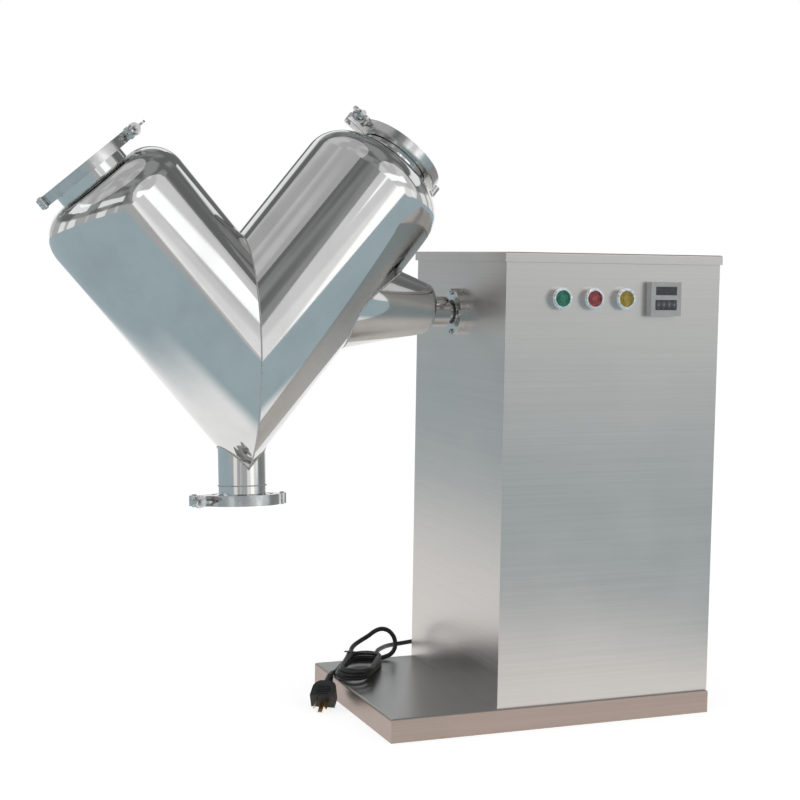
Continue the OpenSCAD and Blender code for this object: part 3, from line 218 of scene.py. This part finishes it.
def hank_points():
    """The hank's turns: long ovals that share their right end and fan out towards the front."""
    points = []
    for i in range(math.ceil((hank_turns - last_turn_short) * points_in_turn)):
        t = i / points_in_turn
        share = t / hank_turns
        angle = math.radians(first_turn + (last_turn - first_turn) * share)
        reach = first_reach + (last_reach - first_reach) * share
        out = Vector((-math.cos(angle), -math.sin(angle)))
        side = Vector((math.sin(angle), -math.cos(angle)))
        bend = math.pi * hank_fold
        run = (t % 1) * (2 * reach + 2 * bend)
        if run < reach:
            spot = out * run + side * hank_fold
        elif run < reach + bend:
            a = (run - reach) / hank_fold
            spot = out * (reach + hank_fold * math.sin(a)) + side * (hank_fold * math.cos(a))
        elif run < 2 * reach + bend:
            spot = out * (2 * reach + bend - run) - side * hank_fold
        else:
            a = (run - 2 * reach - bend) / hank_fold
            spot = -out * (hank_fold * math.sin(a)) - side * (hank_fold * math.cos(a))
        points.append((*(hank_pivot + spot), hank_base + hank_layer * t))
    return points


def cord_curve(name, route, diameter):
    """A round tube that passes smoothly through every point of the route."""
    curve = bpy.data.curves.new(name, "CURVE")
    curve.dimensions = "3D"
    curve.bevel_depth = diameter / 2
    curve.bevel_resolution = 5
    curve.resolution_u = 6
    curve.use_fill_caps = True
    spline = curve.splines.new("BEZIER")
    spline.bezier_points.add(len(route) - 1)
    for spot, here in zip(spline.bezier_points, route):
        spot.co = here
    for i, spot in enumerate(spline.bezier_points):
        before = Vector(route[max(i - 1, 0)])
        here = Vector(route[i])
        after = Vector(route[min(i + 1, len(route) - 1)])
        along = (after - before).normalized()
        spot.handle_left = here - along * (here - before).length / 3
        spot.handle_right = here + along * (after - here).length / 3
    piece = bpy.data.objects.new(name, curve)
    bpy.context.scene.collection.objects.link(piece)
    return piece


cord_route = lead_route + hank_points() + link_route + tail_route
mains_cord = cord_curve("mains_cord", cord_route, cord_d)
paint(mains_cord, black_rubber("cord_rubber"))
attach(mains_cord, "frame")
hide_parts("cord_lead", "cord_hank", "cord_tail")
for name in ("plug_body", "cable_gland", "cord_tie"):
    paint(nodes[name], black_rubber(name + "_rubber"))


# The plug's pins
# Three flat brass blades, bright brass mottled with duller, darker patches.
def brass(name):
    finish = Finish(name, (0.62, 0.42, 0.18), metallic=1, roughness=0.3)
    finish.set("Base Color", finish.noise(160, detail=4).ramp(0.3, 0.75).blend((0.72, 0.50, 0.24),
                                                                               (0.34, 0.19, 0.09)))
    finish.set("Roughness", finish.noise(500, detail=2).ramp(0.3, 0.7, 0.22, 0.42))
    finish.bump(finish.noise(700, stretch=(1, 1, 0.2)), 0.00005)
    return finish


paint(nodes["plug_pins"], brass("blade_brass"))


# The plug's grip
# Raised bars on both flat sides of the moulded plug, which give the fingers a hold.
class Maker:
    """A Geometry Nodes tree under way, with its sizes as named inputs."""

    def __init__(self, name):
        self.tree = bpy.data.node_groups.new(name, "GeometryNodeTree")
        for way in ("INPUT", "OUTPUT"):
            self.tree.interface.new_socket("Geometry", in_out=way, socket_type="NodeSocketGeometry")
        self.start = self.tree.nodes.new("NodeGroupInput")
        self.seed = Wire(self.tree, self.start.outputs[0])
        self.sizes = {}

    def size(self, name, value):
        socket = self.tree.interface.new_socket(name, in_out="INPUT", socket_type="NodeSocketFloat")
        self.sizes[socket.identifier] = value
        return Wire(self.tree, self.start.outputs[name])

    def step(self, kind, sockets, **settings):
        return add_node(self.tree, "GeometryNode" + kind, sockets, **settings)

    def vector(self, x, y, z):
        return add_node(self.tree, "ShaderNodeCombineXYZ", {"X": x, "Y": y, "Z": z})

    def join(self, *parts):
        whole = self.tree.nodes.new("GeometryNodeJoinGeometry")
        for part in parts:
            self.tree.links.new(part.socket, whole.inputs[0])
        return Wire(self.tree, whole.outputs[0])

    def close(self, geometry, finish, smooth=True):
        real = self.step("RealizeInstances", {"Geometry": geometry})
        shaded = self.step("SetShadeSmooth", {"Geometry": real, "Shade Smooth": smooth})
        painted = self.step("SetMaterial", {"Geometry": shaded, "Material": finish.material})
        end = self.tree.nodes.new("NodeGroupOutput")
        self.tree.links.new(painted.socket, end.inputs[0])


def grow(name, maker, body, points=((0, 0, 0),), edges=(), place=None):
    """Runs a maker on a wire of points and keeps the result as a plain mesh that rides on a body."""
    seed = bpy.data.meshes.new(name + "_seed")
    seed.from_pydata([tuple(p) for p in points], list(edges), [])
    holder = bpy.data.objects.new(name + "_seed", seed)
    bpy.context.scene.collection.objects.link(holder)
    modifier = holder.modifiers.new("maker", "NODES")
    modifier.node_group = maker.tree
    for identifier, value in maker.sizes.items():
        modifier[identifier] = value
    bpy.context.view_layer.update()
    grown = holder.evaluated_get(bpy.context.evaluated_depsgraph_get())
    mesh = bpy.data.meshes.new_from_object(grown)
    holder.modifiers.remove(modifier)
    bpy.data.objects.remove(holder)
    if place is not None:
        mesh.transform(place)
    piece = bpy.data.objects.new(name, mesh)
    bpy.context.scene.collection.objects.link(piece)
    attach(piece, body)
    return piece


plug_place = (Matrix.Translation((-0.259, 0.0605, 0.0384)) @ Matrix.Rotation(math.radians(238), 4, "Z")
              @ Matrix.Rotation(math.radians(27), 4, "Y") @ Matrix.Rotation(math.radians(90), 4, "Y"))
bar_length, bar_count, bar_pitch = 0.019, 5, 0.0038
first_bar, plug_side = 0.034, 0.011
grip = Maker("plug_grip")
bar = grip.step("MeshCube", {"Size": grip.vector(grip.size("Bar height", 0.0016), bar_length,
                                                 grip.size("Bar width", 0.0018))})
rows = [grip.step("MeshLine", {"Count": bar_count, "Start Location": (x, 0, first_bar),
                               "Offset": (0, 0, bar_pitch)}) for x in (plug_side, -plug_side)]
grip.close(grip.step("InstanceOnPoints", {"Points": grip.join(*rows), "Instance": bar}),
           black_rubber("grip_rubber"), smooth=False)
grow("plug_grip", grip, "frame", place=plug_place)


# The studio
# One pale floor, white under and behind the machine and blue-grey elsewhere, below an even sky that is
# white at the horizon and greyer overhead, with a row of windows. Steel mirrors that and the two lamps.
floor_half = 60
white_corner_left, white_corner_right = Vector((-0.83, -0.235)), Vector((0.16, -0.60))
white_far_left, white_far_right = Vector((0.3, 14)), Vector((11.6, 14))
white_fade = 0.3
floor_grey, floor_white = (0.11, 0.13, 0.14), (0.50, 0.50, 0.50)
own_grey, own_white = (0.36, 0.45, 0.49), (0.79, 0.79, 0.79)

floor_finish = Finish("floor", floor_white, roughness=0.9, Specular_IOR_Level=0.0)
east, north = floor_finish.along("X"), floor_finish.along("Y")
white_part = None
for start, stop in ((white_far_left, white_corner_left), (white_corner_left, white_corner_right),
                    (white_corner_right, white_far_right)):
    inward = Vector((start.y - stop.y, stop.x - start.x)).normalized()
    inside = east * inward.x + north * inward.y - inward.dot(start)
    inside = inside.ramp(-white_fade, 0)
    white_part = inside if white_part is None else white_part * inside
seen = add_node(floor_finish.tree, "ShaderNodeLightPath", out="Is Camera Ray")
for ray in ("Is Glossy Ray", "Is Transmission Ray"):
    seen = seen.math("MAXIMUM", seen, add_node(floor_finish.tree, "ShaderNodeLightPath", out=ray))
floor_finish.set("Base Color", white_part.blend(floor_grey, floor_white))
floor_finish.shader.inputs["Emission Strength"].default_value = 1
floor_finish.set("Emission Color", seen.blend((0, 0, 0), white_part.blend(own_grey, own_white)))
floor_mesh = bpy.data.meshes.new("floor")
floor_mesh.from_pydata([(-floor_half, -floor_half, 0), (floor_half, -floor_half, 0),
                        (floor_half, floor_half, 0), (-floor_half, floor_half, 0)], [], [(0, 1, 2, 3)])
floor = bpy.data.objects.new("floor", floor_mesh)
bpy.context.scene.collection.objects.link(floor)
paint(floor, floor_finish)

world = bpy.data.worlds.new("sky")
bpy.context.scene.world = world
world.use_nodes = True
sky = world.node_tree.nodes["Background"]
way = add_node(world.node_tree, "ShaderNodeTexCoord", out="Generated")
east, north, height = (add_node(world.node_tree, "ShaderNodeSeparateXYZ", {0: way}, out=i) for i in range(3))
bearing = east.math("ARCTAN2", east, north)
cloud = add_node(world.node_tree, "ShaderNodeTexNoise", {"Vector": way, "Scale": 2.6, "Detail": 1.5})
ceiling = cloud.ramp(0.42, 0.58).blend((0.17, 0.172, 0.175), (0.34, 0.343, 0.35))
windows = (bearing * 5 + 1.4).math("SINE").ramp(-0.55, -0.45)
windows = windows * height.ramp(0.34, 0.36) * height.ramp(0.50, 0.54, 1, 0)
roof = windows.blend(ceiling, (1.0, 1.02, 1.04))
pillars = ((bearing * 13).math("SINE") + (bearing * 5.2 + 1).math("SINE")).ramp(-0.1, 0.7)
behind = (bearing - 0.37).math("COSINE").ramp(0.80, 0.90)
walls = behind.blend(pillars.blend((0.50, 0.505, 0.51), (1, 1, 1)), (1, 1, 1))
whole_sky = height.ramp(0.175, 0.235).blend(walls, roof)
world.node_tree.links.new(whole_sky.socket, sky.inputs["Color"])
sky.inputs["Strength"].default_value = 1
lamp_breadth = 70


def soft_lamp(name, spot, power):
    """A broad, far lamp that lights everything alike, and that steel mirrors as a bright patch."""
    data = bpy.data.lights.new(name, "SUN")
    data.energy = power
    data.angle = math.radians(lamp_breadth)
    lamp = bpy.data.objects.new(name, data)
    lamp.rotation_euler = (-Vector(spot)).to_track_quat("-Z", "Y").to_euler()
    bpy.context.scene.collection.objects.link(lamp)


soft_lamp("front_lamp", (0.9, -1.1, 0.55), 0.5)
soft_lamp("overhead_lamp", (-0.5, 0.1, 1.0), 0.35)


# The base
# A tray folded from stainless sheet, its skirt brushed along its length, over a welded channel frame.
def brushed_sheet(name, grain, tint=(0.62, 0.585, 0.555), roughness=0.33):
    """Brushed stainless sheet; grain is the stretch of its fine lines."""
    finish = Finish(name, tint, metallic=1, roughness=roughness)
    lines = finish.noise(1, detail=4, roughness=0.7, stretch=grain)
    smudge = finish.noise(4, detail=4, roughness=0.6)
    shade = lines.ramp(0.25, 0.75) * 0.6 + smudge.ramp(0.3, 0.7) * 0.4
    finish.set("Base Color", shade.blend([c * 0.93 for c in tint], [c * 1.07 for c in tint]))
    finish.set("Roughness", lines.ramp(0.25, 0.75, -0.02, 0.03) + smudge.ramp(0.3, 0.7, -0.02, 0.03) + roughness)
    finish.bump(lines, 0.000006)
    return finish


across_z = (3, 3, 420)
across_y = (4, 420, 4)
tray_steel = brushed_sheet("tray_steel", across_z, roughness=0.34)
skirt_top, tray_top = 0.0310, 0.0328
# The skirt, below the tray's top edge, is painted darker and warmer than the top of the same sheet: a painted
# reflection on the upright side.
skirt = tray_steel.along("Z").ramp(skirt_top, tray_top, 1, 0)
streaks = tray_steel.noise(1, detail=4, roughness=0.7, stretch=across_z).ramp(0.25, 0.75)
tray_steel.set("Base Color", skirt.blend(streaks.blend((0.45, 0.45, 0.44), (0.50, 0.50, 0.49)),
                                         streaks.blend((0.38, 0.30, 0.26), (0.43, 0.35, 0.31))))
paint(nodes["base_tray"], tray_steel)
# The channel frame under the tray is painted a dark steel, about half the tray's tint: painted shade under the
# tray.
paint(nodes["base_frame"], brushed_sheet("frame_steel_painted_shade", (60, 60, 60), (0.30, 0.30, 0.30), 0.42))

# The cabinet
# A shell folded from brushed sheet, with a lid whose front edge is rolled over, and a screwed back panel.
paint(nodes["cabinet_shell"], brushed_sheet("cabinet_steel", across_z))
paint(nodes["back_panel"], brushed_sheet("back_steel", across_z))
paint(nodes["lid"], brushed_sheet("lid_steel", across_y))


def bright_steel(name, tint=(0.62, 0.62, 0.61), roughness=0.22):
    """Turned or pressed stainless: fine tool marks, a little wear and dust."""
    finish = Finish(name, tint, metallic=1, roughness=roughness)
    marks = finish.noise(420, detail=3)
    finish.set("Base Color", marks.ramp(0.25, 0.8).blend(tuple(c * 1.1 for c in tint),
                                                         tuple(c * 0.8 for c in tint)))
    finish.set("Roughness", finish.noise(150, detail=2).ramp(0.3, 0.7, roughness * 0.75, roughness * 1.4))
    finish.bump(marks, 0.00003)
    return finish


zinc = bright_steel("zinc_screws", (0.58, 0.58, 0.56), 0.28)
paint(nodes["back_panel_screws"], zinc)


# The drive inside the cabinet
# Cast housings in machine enamel, a finned motor, a bent and welded stand, and turned steel shafts.
def enamel(name, colour, roughness=0.4):
    finish = Finish(name, colour, roughness=roughness, Coat_Weight=0.25)
    orange_peel = finish.noise(260, detail=2)
    wear = finish.noise(26, detail=5, roughness=0.65)
    finish.set("Base Color", wear.ramp(0.5, 0.78).blend(colour, tuple(c * 0.62 for c in colour)))
    finish.set("Roughness", wear.ramp(0.3, 0.7, roughness * 0.85, roughness * 1.3))
    finish.bump(orange_peel, 0.00015)
    return finish


casting_enamel = enamel("casting_enamel", (0.16, 0.24, 0.26))
motor_enamel = enamel("motor_enamel", (0.10, 0.17, 0.30))
stand_enamel = enamel("stand_enamel", (0.28, 0.29, 0.29), 0.5)
turned = bright_steel("turned_steel", (0.58, 0.57, 0.55), 0.2)
for finish, names in ((casting_enamel, ("pillow_blocks", "gearbox_housing")),
                      (motor_enamel, ("motor_housing", "motor_rear_shield", "fan_cover")),
                      (stand_enamel, ("bearing_stand",)),
                      (zinc, ("drive_bolts",)),
                      (turned, ("main_shaft", "bearing_inner_rings", "gearbox_output_sleeve", "motor_rotor"))):
    for name in names:
        paint(nodes[name], finish)


def moulded(name, colour, roughness=0.45):
    """Moulded plastic with a fine spark-eroded grain."""
    finish = Finish(name, colour, roughness=roughness)
    shade = finish.noise(40, detail=4).ramp(0.35, 0.75)
    finish.set("Base Color", shade.blend(colour, tuple(c * 0.88 for c in colour)))
    finish.set("Roughness", finish.noise(300, detail=2).ramp(0.3, 0.7, roughness * 0.85, roughness * 1.15))
    finish.bump(finish.noise(600, detail=2), 0.00006)
    return finish


paint(nodes["motor_fan"], moulded("fan_plastic", (0.03, 0.03, 0.035)))
paint(nodes["control_gear"], moulded("relay_plastic", (0.42, 0.40, 0.35)))


# The buttons
# Three caps of tinted plastic with moulded rings, each in a chromed bezel.
def chrome(name):
    finish = Finish(name, (0.78, 0.78, 0.78), metallic=1, roughness=0.08)
    finish.set("Roughness", finish.noise(300, detail=3).ramp(0.3, 0.7, 0.05, 0.14))
    finish.bump(finish.noise(120, detail=1), 0.00006)
    return finish


def cap_plastic(name, colour, glow):
    finish = Finish(name, colour, roughness=0.3, Coat_Weight=0.3)
    finish.set("Base Color", finish.noise(180, detail=3).ramp(0.3, 0.7).blend(colour, glow))
    finish.set("Roughness", finish.noise(400, detail=2).ramp(0.3, 0.7, 0.22, 0.4))
    finish.bump(finish.noise(500, detail=1), 0.00004)
    return finish


paint(nodes["button_bezels"], chrome("bezel_chrome"))
paint(nodes["button_blocks"], moulded("switch_plastic", (0.05, 0.05, 0.055)))
paint(nodes["green_button"], cap_plastic("green_cap", (0.02, 0.22, 0.13), (0.05, 0.42, 0.26)))
paint(nodes["red_button"], cap_plastic("red_cap", (0.40, 0.05, 0.06), (0.62, 0.13, 0.13)))
paint(nodes["yellow_button"], cap_plastic("yellow_cap", (0.52, 0.38, 0.03), (0.72, 0.56, 0.10)))

# The timer
# A pale plastic case with a dark display window and four number wheels with their keys.
paint(nodes["timer_case"], moulded("timer_plastic", (0.80, 0.81, 0.80), 0.4))
window_glass = Finish("window_glass", (0.035, 0.036, 0.042), roughness=0.12, Coat_Weight=0.6)
window_glass.set("Base Color", window_glass.noise(300, detail=3).ramp(0.4, 0.7).blend((0.030, 0.031, 0.036),
                                                                                      (0.060, 0.050, 0.052)))
window_glass.bump(window_glass.noise(60, detail=1), 0.00003)
paint(nodes["timer_window"], window_glass)
wheel_plastic = moulded("wheel_plastic", (0.17, 0.175, 0.19), 0.5)
wheels = ("thousands_wheel", "hundreds_wheel", "tens_wheel", "units_wheel")
digit_ink = moulded("digit_ink", (0.62, 0.64, 0.66), 0.6)
wheel_y, wheel_z = -0.1645, 0.5953
digit_height, digit_raise, digit_reach = 0.0052, 0.00005, 0.00905
digit_turn = 36
digits_shown = (0, 0, 3, 0)
for name, shown in zip(wheels, digits_shown):
    paint(nodes[name], wheel_plastic)
    low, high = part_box(name)
    middle = (low[0] + high[0]) / 2
    digits = bmesh.new()
    for digit in range(10):
        letter = bpy.data.curves.new("digit", "FONT")
        letter.body = str(digit)
        letter.size = digit_height
        letter.align_x = letter.align_y = "CENTER"
        letter.extrude = digit_raise
        letter.resolution_u = 2
        shape = bpy.data.objects.new("digit", letter)
        mesh = bpy.data.meshes.new_from_object(shape)
        mesh.transform(Matrix.Translation((middle, wheel_y, wheel_z))
                       @ Matrix.Rotation(math.radians(digit_turn * (shown - digit)), 4, "X")
                       @ Matrix.Translation((0, -digit_reach, 0)) @ Matrix.Rotation(math.radians(90), 4, "X"))
        digits.from_mesh(mesh)
        bpy.data.objects.remove(shape)
    mesh = bpy.data.meshes.new(name.replace("wheel", "digits"))
    digits.to_mesh(mesh)
    ring = bpy.data.objects.new(mesh.name, mesh)
    bpy.context.scene.collection.objects.link(ring)
    paint(ring, digit_ink)
    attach(ring, name)

key_depth, key_pitch, key_rise = 0.0012, 0.0085, 0.0062
timer_middle, keys_y = 0.1535, -0.1727
first_key = timer_middle - key_pitch * (len(wheels) - 1) / 2
keys = Maker("wheel_keys")
key = keys.step("MeshCube", {"Size": keys.vector(keys.size("Key width", 0.0046), key_depth,
                                                 keys.size("Key height", 0.0016))})
key_rows = [keys.step("MeshLine", {"Count": len(wheels), "Offset": (key_pitch, 0, 0),
                                   "Start Location": (first_key, keys_y, wheel_z + rise)})
            for rise in (key_rise, -key_rise)]
keys.close(keys.step("InstanceOnPoints", {"Points": keys.join(*key_rows), "Instance": key}),
           moulded("key_plastic", (0.10, 0.105, 0.12)), smooth=False)
grow("wheel_keys", keys, "frame")

# The drum
# Two legs of thick stainless tube, mitred and welded in a V and mirror polished, lengthwise lines left by
# the belt and slow waves in the sheet.
drum_place = Matrix.Translation((0, 0, 0.579)) @ Matrix.Rotation(math.radians(-5.4), 4, "X")
vee_place = drum_place @ Matrix.Translation((-0.419, 0, -0.060))
shaft_place = drum_place @ Matrix.Rotation(math.pi / 2, 4, "Y")
leg_r = 0.1065
vee_half = math.radians(40)
sheet_wave = 0.0005
left_place = vee_place @ Matrix.Rotation(-vee_half, 4, "Y")
right_place = vee_place @ Matrix.Rotation(vee_half, 4, "Y")
spout_place = vee_place @ Matrix.Rotation(math.pi, 4, "Y")


def mirror_steel(name, place, other=None, tint=(0.70, 0.70, 0.69)):
    """Mirror-polished stainless in a leg's own frame, or in two of them that meet at the mitre."""
    finish = Finish(name, tint, metallic=1, roughness=0.05)
    waves = finish.noise(7, detail=1, stretch=(1, 1, 0.35), place=place)
    lines = finish.noise(1, detail=3, roughness=0.7, stretch=(60, 60, 500), place=place)
    if other is not None:
        side = finish.along("X", vee_place).ramp(-0.001, 0.001)
        waves = waves * side.ramp(0, 1, 1, 0) + finish.noise(7, detail=1, stretch=(1, 1, 0.35), place=other) * side
        lines = (lines * side.ramp(0, 1, 1, 0)
                 + finish.noise(1, detail=3, roughness=0.7, stretch=(60, 60, 500), place=other) * side)
    haze = finish.noise(11, detail=5, roughness=0.6)
    finish.set("Base Color", haze.ramp(0.35, 0.75).blend(tint, tuple(c * 0.9 for c in tint)))
    finish.set("Roughness", haze.ramp(0.3, 0.75, 0.03, 0.075) + lines.ramp(0.3, 0.7, 0.0, 0.02))
    finish.bump(waves, sheet_wave)
    finish.bump(lines, 0.000004)
    return finish


paint(nodes["drum_shell"], mirror_steel("drum_steel", left_place, right_place))
paint(nodes["charging_necks"], mirror_steel("neck_steel", left_place, right_place))
paint(nodes["discharge_spout"], mirror_steel("spout_steel", spout_place))
paint(nodes["trunnion_cone"], mirror_steel("cone_steel", shaft_place))
cap_steel = mirror_steel("cap_steel", spout_place, tint=(0.62, 0.62, 0.61))
cap_radius = cap_steel.from_axis(left_place)
for place in (right_place, spout_place):
    cap_radius = cap_radius.math("MINIMUM", cap_radius, cap_steel.from_axis(place))
cap_steel.bump((cap_radius * 2600).math("SINE"), 0.000012)
paint(nodes["ferrule_caps"], cap_steel)
paint(nodes["ferrule_gaskets"], moulded("gasket_silicone", (0.62, 0.62, 0.58), 0.5))

# Weld beads
# Fine runs of overlapping scales, left along the mitre, round the spout and where the cone meets its leg.
bead_finish = bright_steel("weld_bead", (0.55, 0.54, 0.52), 0.2)


def weld(name, points, width, pitch):
    beads = Maker(name)
    run = beads.step("MeshToCurve", {"Mesh": beads.seed})
    steps = beads.step("ResampleCurve", {"Curve": run, "Length": beads.size("Scale pitch", pitch)}, mode="LENGTH")
    scale = beads.step("MeshIcoSphere", {"Radius": beads.size("Bead half-width", width / 2), "Subdivisions": 2})
    beads.close(beads.step("InstanceOnPoints", {"Points": steps, "Instance": scale}), bead_finish)
    return grow(name, beads, "drum", points, [(i, i + 1) for i in range(len(points) - 1)])


mitre = []
for i in range(181):
    a = math.radians(-180 + 2 * i)
    mitre.append(vee_place @ Vector((0, leg_r * math.sin(a), leg_r / math.sin(vee_half) * math.cos(a))))
weld("mitre_weld", mitre, 0.0022, 0.0010)
spout_r, spout_bead_r, spout_ring_r, spout_ring_depth = 0.033, 0.03333, 0.0332, 0.180
spout_seam = []
for i in range(121):
    a = math.radians(3 * i)
    x, y = spout_r * math.cos(a), spout_r * math.sin(a)
    # The leg's surface below this point of the spout
    depth = (math.sqrt(leg_r ** 2 - y ** 2) - abs(x) * math.cos(vee_half)) / math.sin(vee_half)
    spout_seam.append(spout_place @ Vector((spout_bead_r * math.cos(a), spout_bead_r * math.sin(a), depth)))
weld("spout_weld", spout_seam, 0.0022, 0.0010)
lower_ring = []
for a in range(0, 361, 4):
    x, y = spout_ring_r * math.cos(math.radians(a)), spout_ring_r * math.sin(math.radians(a))
    lower_ring.append(spout_place @ Vector((x, y, spout_ring_depth)))
weld("spout_ring_weld", lower_ring, 0.0016, 0.0009)

cone_end, cone_rise, cone_skew, cone_length, cone_r, cone_mouth_r = -0.1355, 0.003, 0.0193, 0.165, 0.034, 0.082
cone_tilt = math.asin(cone_skew / cone_length)
cone_half = math.atan((cone_mouth_r - cone_r) / cone_length)
search_near, search_far, search_steps = 0.02, 0.22, 40
cone_place = (drum_place @ Matrix.Translation((cone_end, 0, cone_rise))
              @ Matrix.Rotation(cone_tilt - math.pi / 2, 4, "Y"))
to_leg = right_place.inverted()
cone_seam = []
for i in range(145):
    a = math.radians(2.5 * i)
    near, far = search_near, search_far
    for _ in range(search_steps):
        reach = (near + far) / 2
        r = cone_r + reach * math.tan(cone_half)
        spot = cone_place @ Vector((r * math.cos(a), r * math.sin(a), reach))
        p = to_leg @ spot
        if math.hypot(p.x, p.y) > leg_r:
            near = reach
        else:
            far = reach
    cone_seam.append(spot)
weld("cone_weld", cone_seam, 0.0028, 0.0012)

# The hub, flange and seal
# The cone's hub is turned and pinned to the shaft by set screws; the wall flange is turned stainless.
paint(nodes["hub_sleeve"], mirror_steel("hub_steel", shaft_place, tint=(0.6, 0.6, 0.59)))
flange_steel = bright_steel("flange_steel", (0.60, 0.60, 0.59), 0.18)
flange_steel.bump((flange_steel.from_axis(shaft_place) * 3200).math("SINE"), 0.000015)
paint(nodes["wall_flange"], flange_steel)
paint(nodes["wall_flange_screws"], zinc)
paint(nodes["hub_screws"], bright_steel("set_screws", (0.4, 0.4, 0.4), 0.3))
paint(nodes["shaft_seal"], black_rubber("seal_rubber"))


# The clamps
# Halves and nuts cast in stainless and tumbled, pins, bolts and washers turned bright.
def cast_stainless(name):
    finish = Finish(name, (0.60, 0.60, 0.59), metallic=1, roughness=0.24)
    skin = finish.noise(300, detail=2)
    pits = finish.noise(60, detail=3, roughness=0.6)
    finish.set("Base Color", pits.ramp(0.4, 0.75).blend((0.64, 0.64, 0.63), (0.54, 0.54, 0.53)))
    finish.set("Roughness", pits.ramp(0.3, 0.75, 0.16, 0.26))
    finish.bump(skin, 0.00002)
    finish.bump(pits, 0.00004)
    return finish


clamp_finish = cast_stainless("cast_stainless")
bolt_finish = bright_steel("bolt_steel", (0.64, 0.64, 0.63), 0.18)
for name in ("clamp_front_halves", "clamp_rear_halves"):
    paint(nodes[name], clamp_finish)
for side in ("left", "right", "spout"):
    paint(nodes[side + "_wing_nut"], clamp_finish)
    paint(nodes[side + "_swing_bolt"], bolt_finish)
    paint(nodes[side + "_washer"], bolt_finish)
paint(nodes["clamp_pins"], bolt_finish)
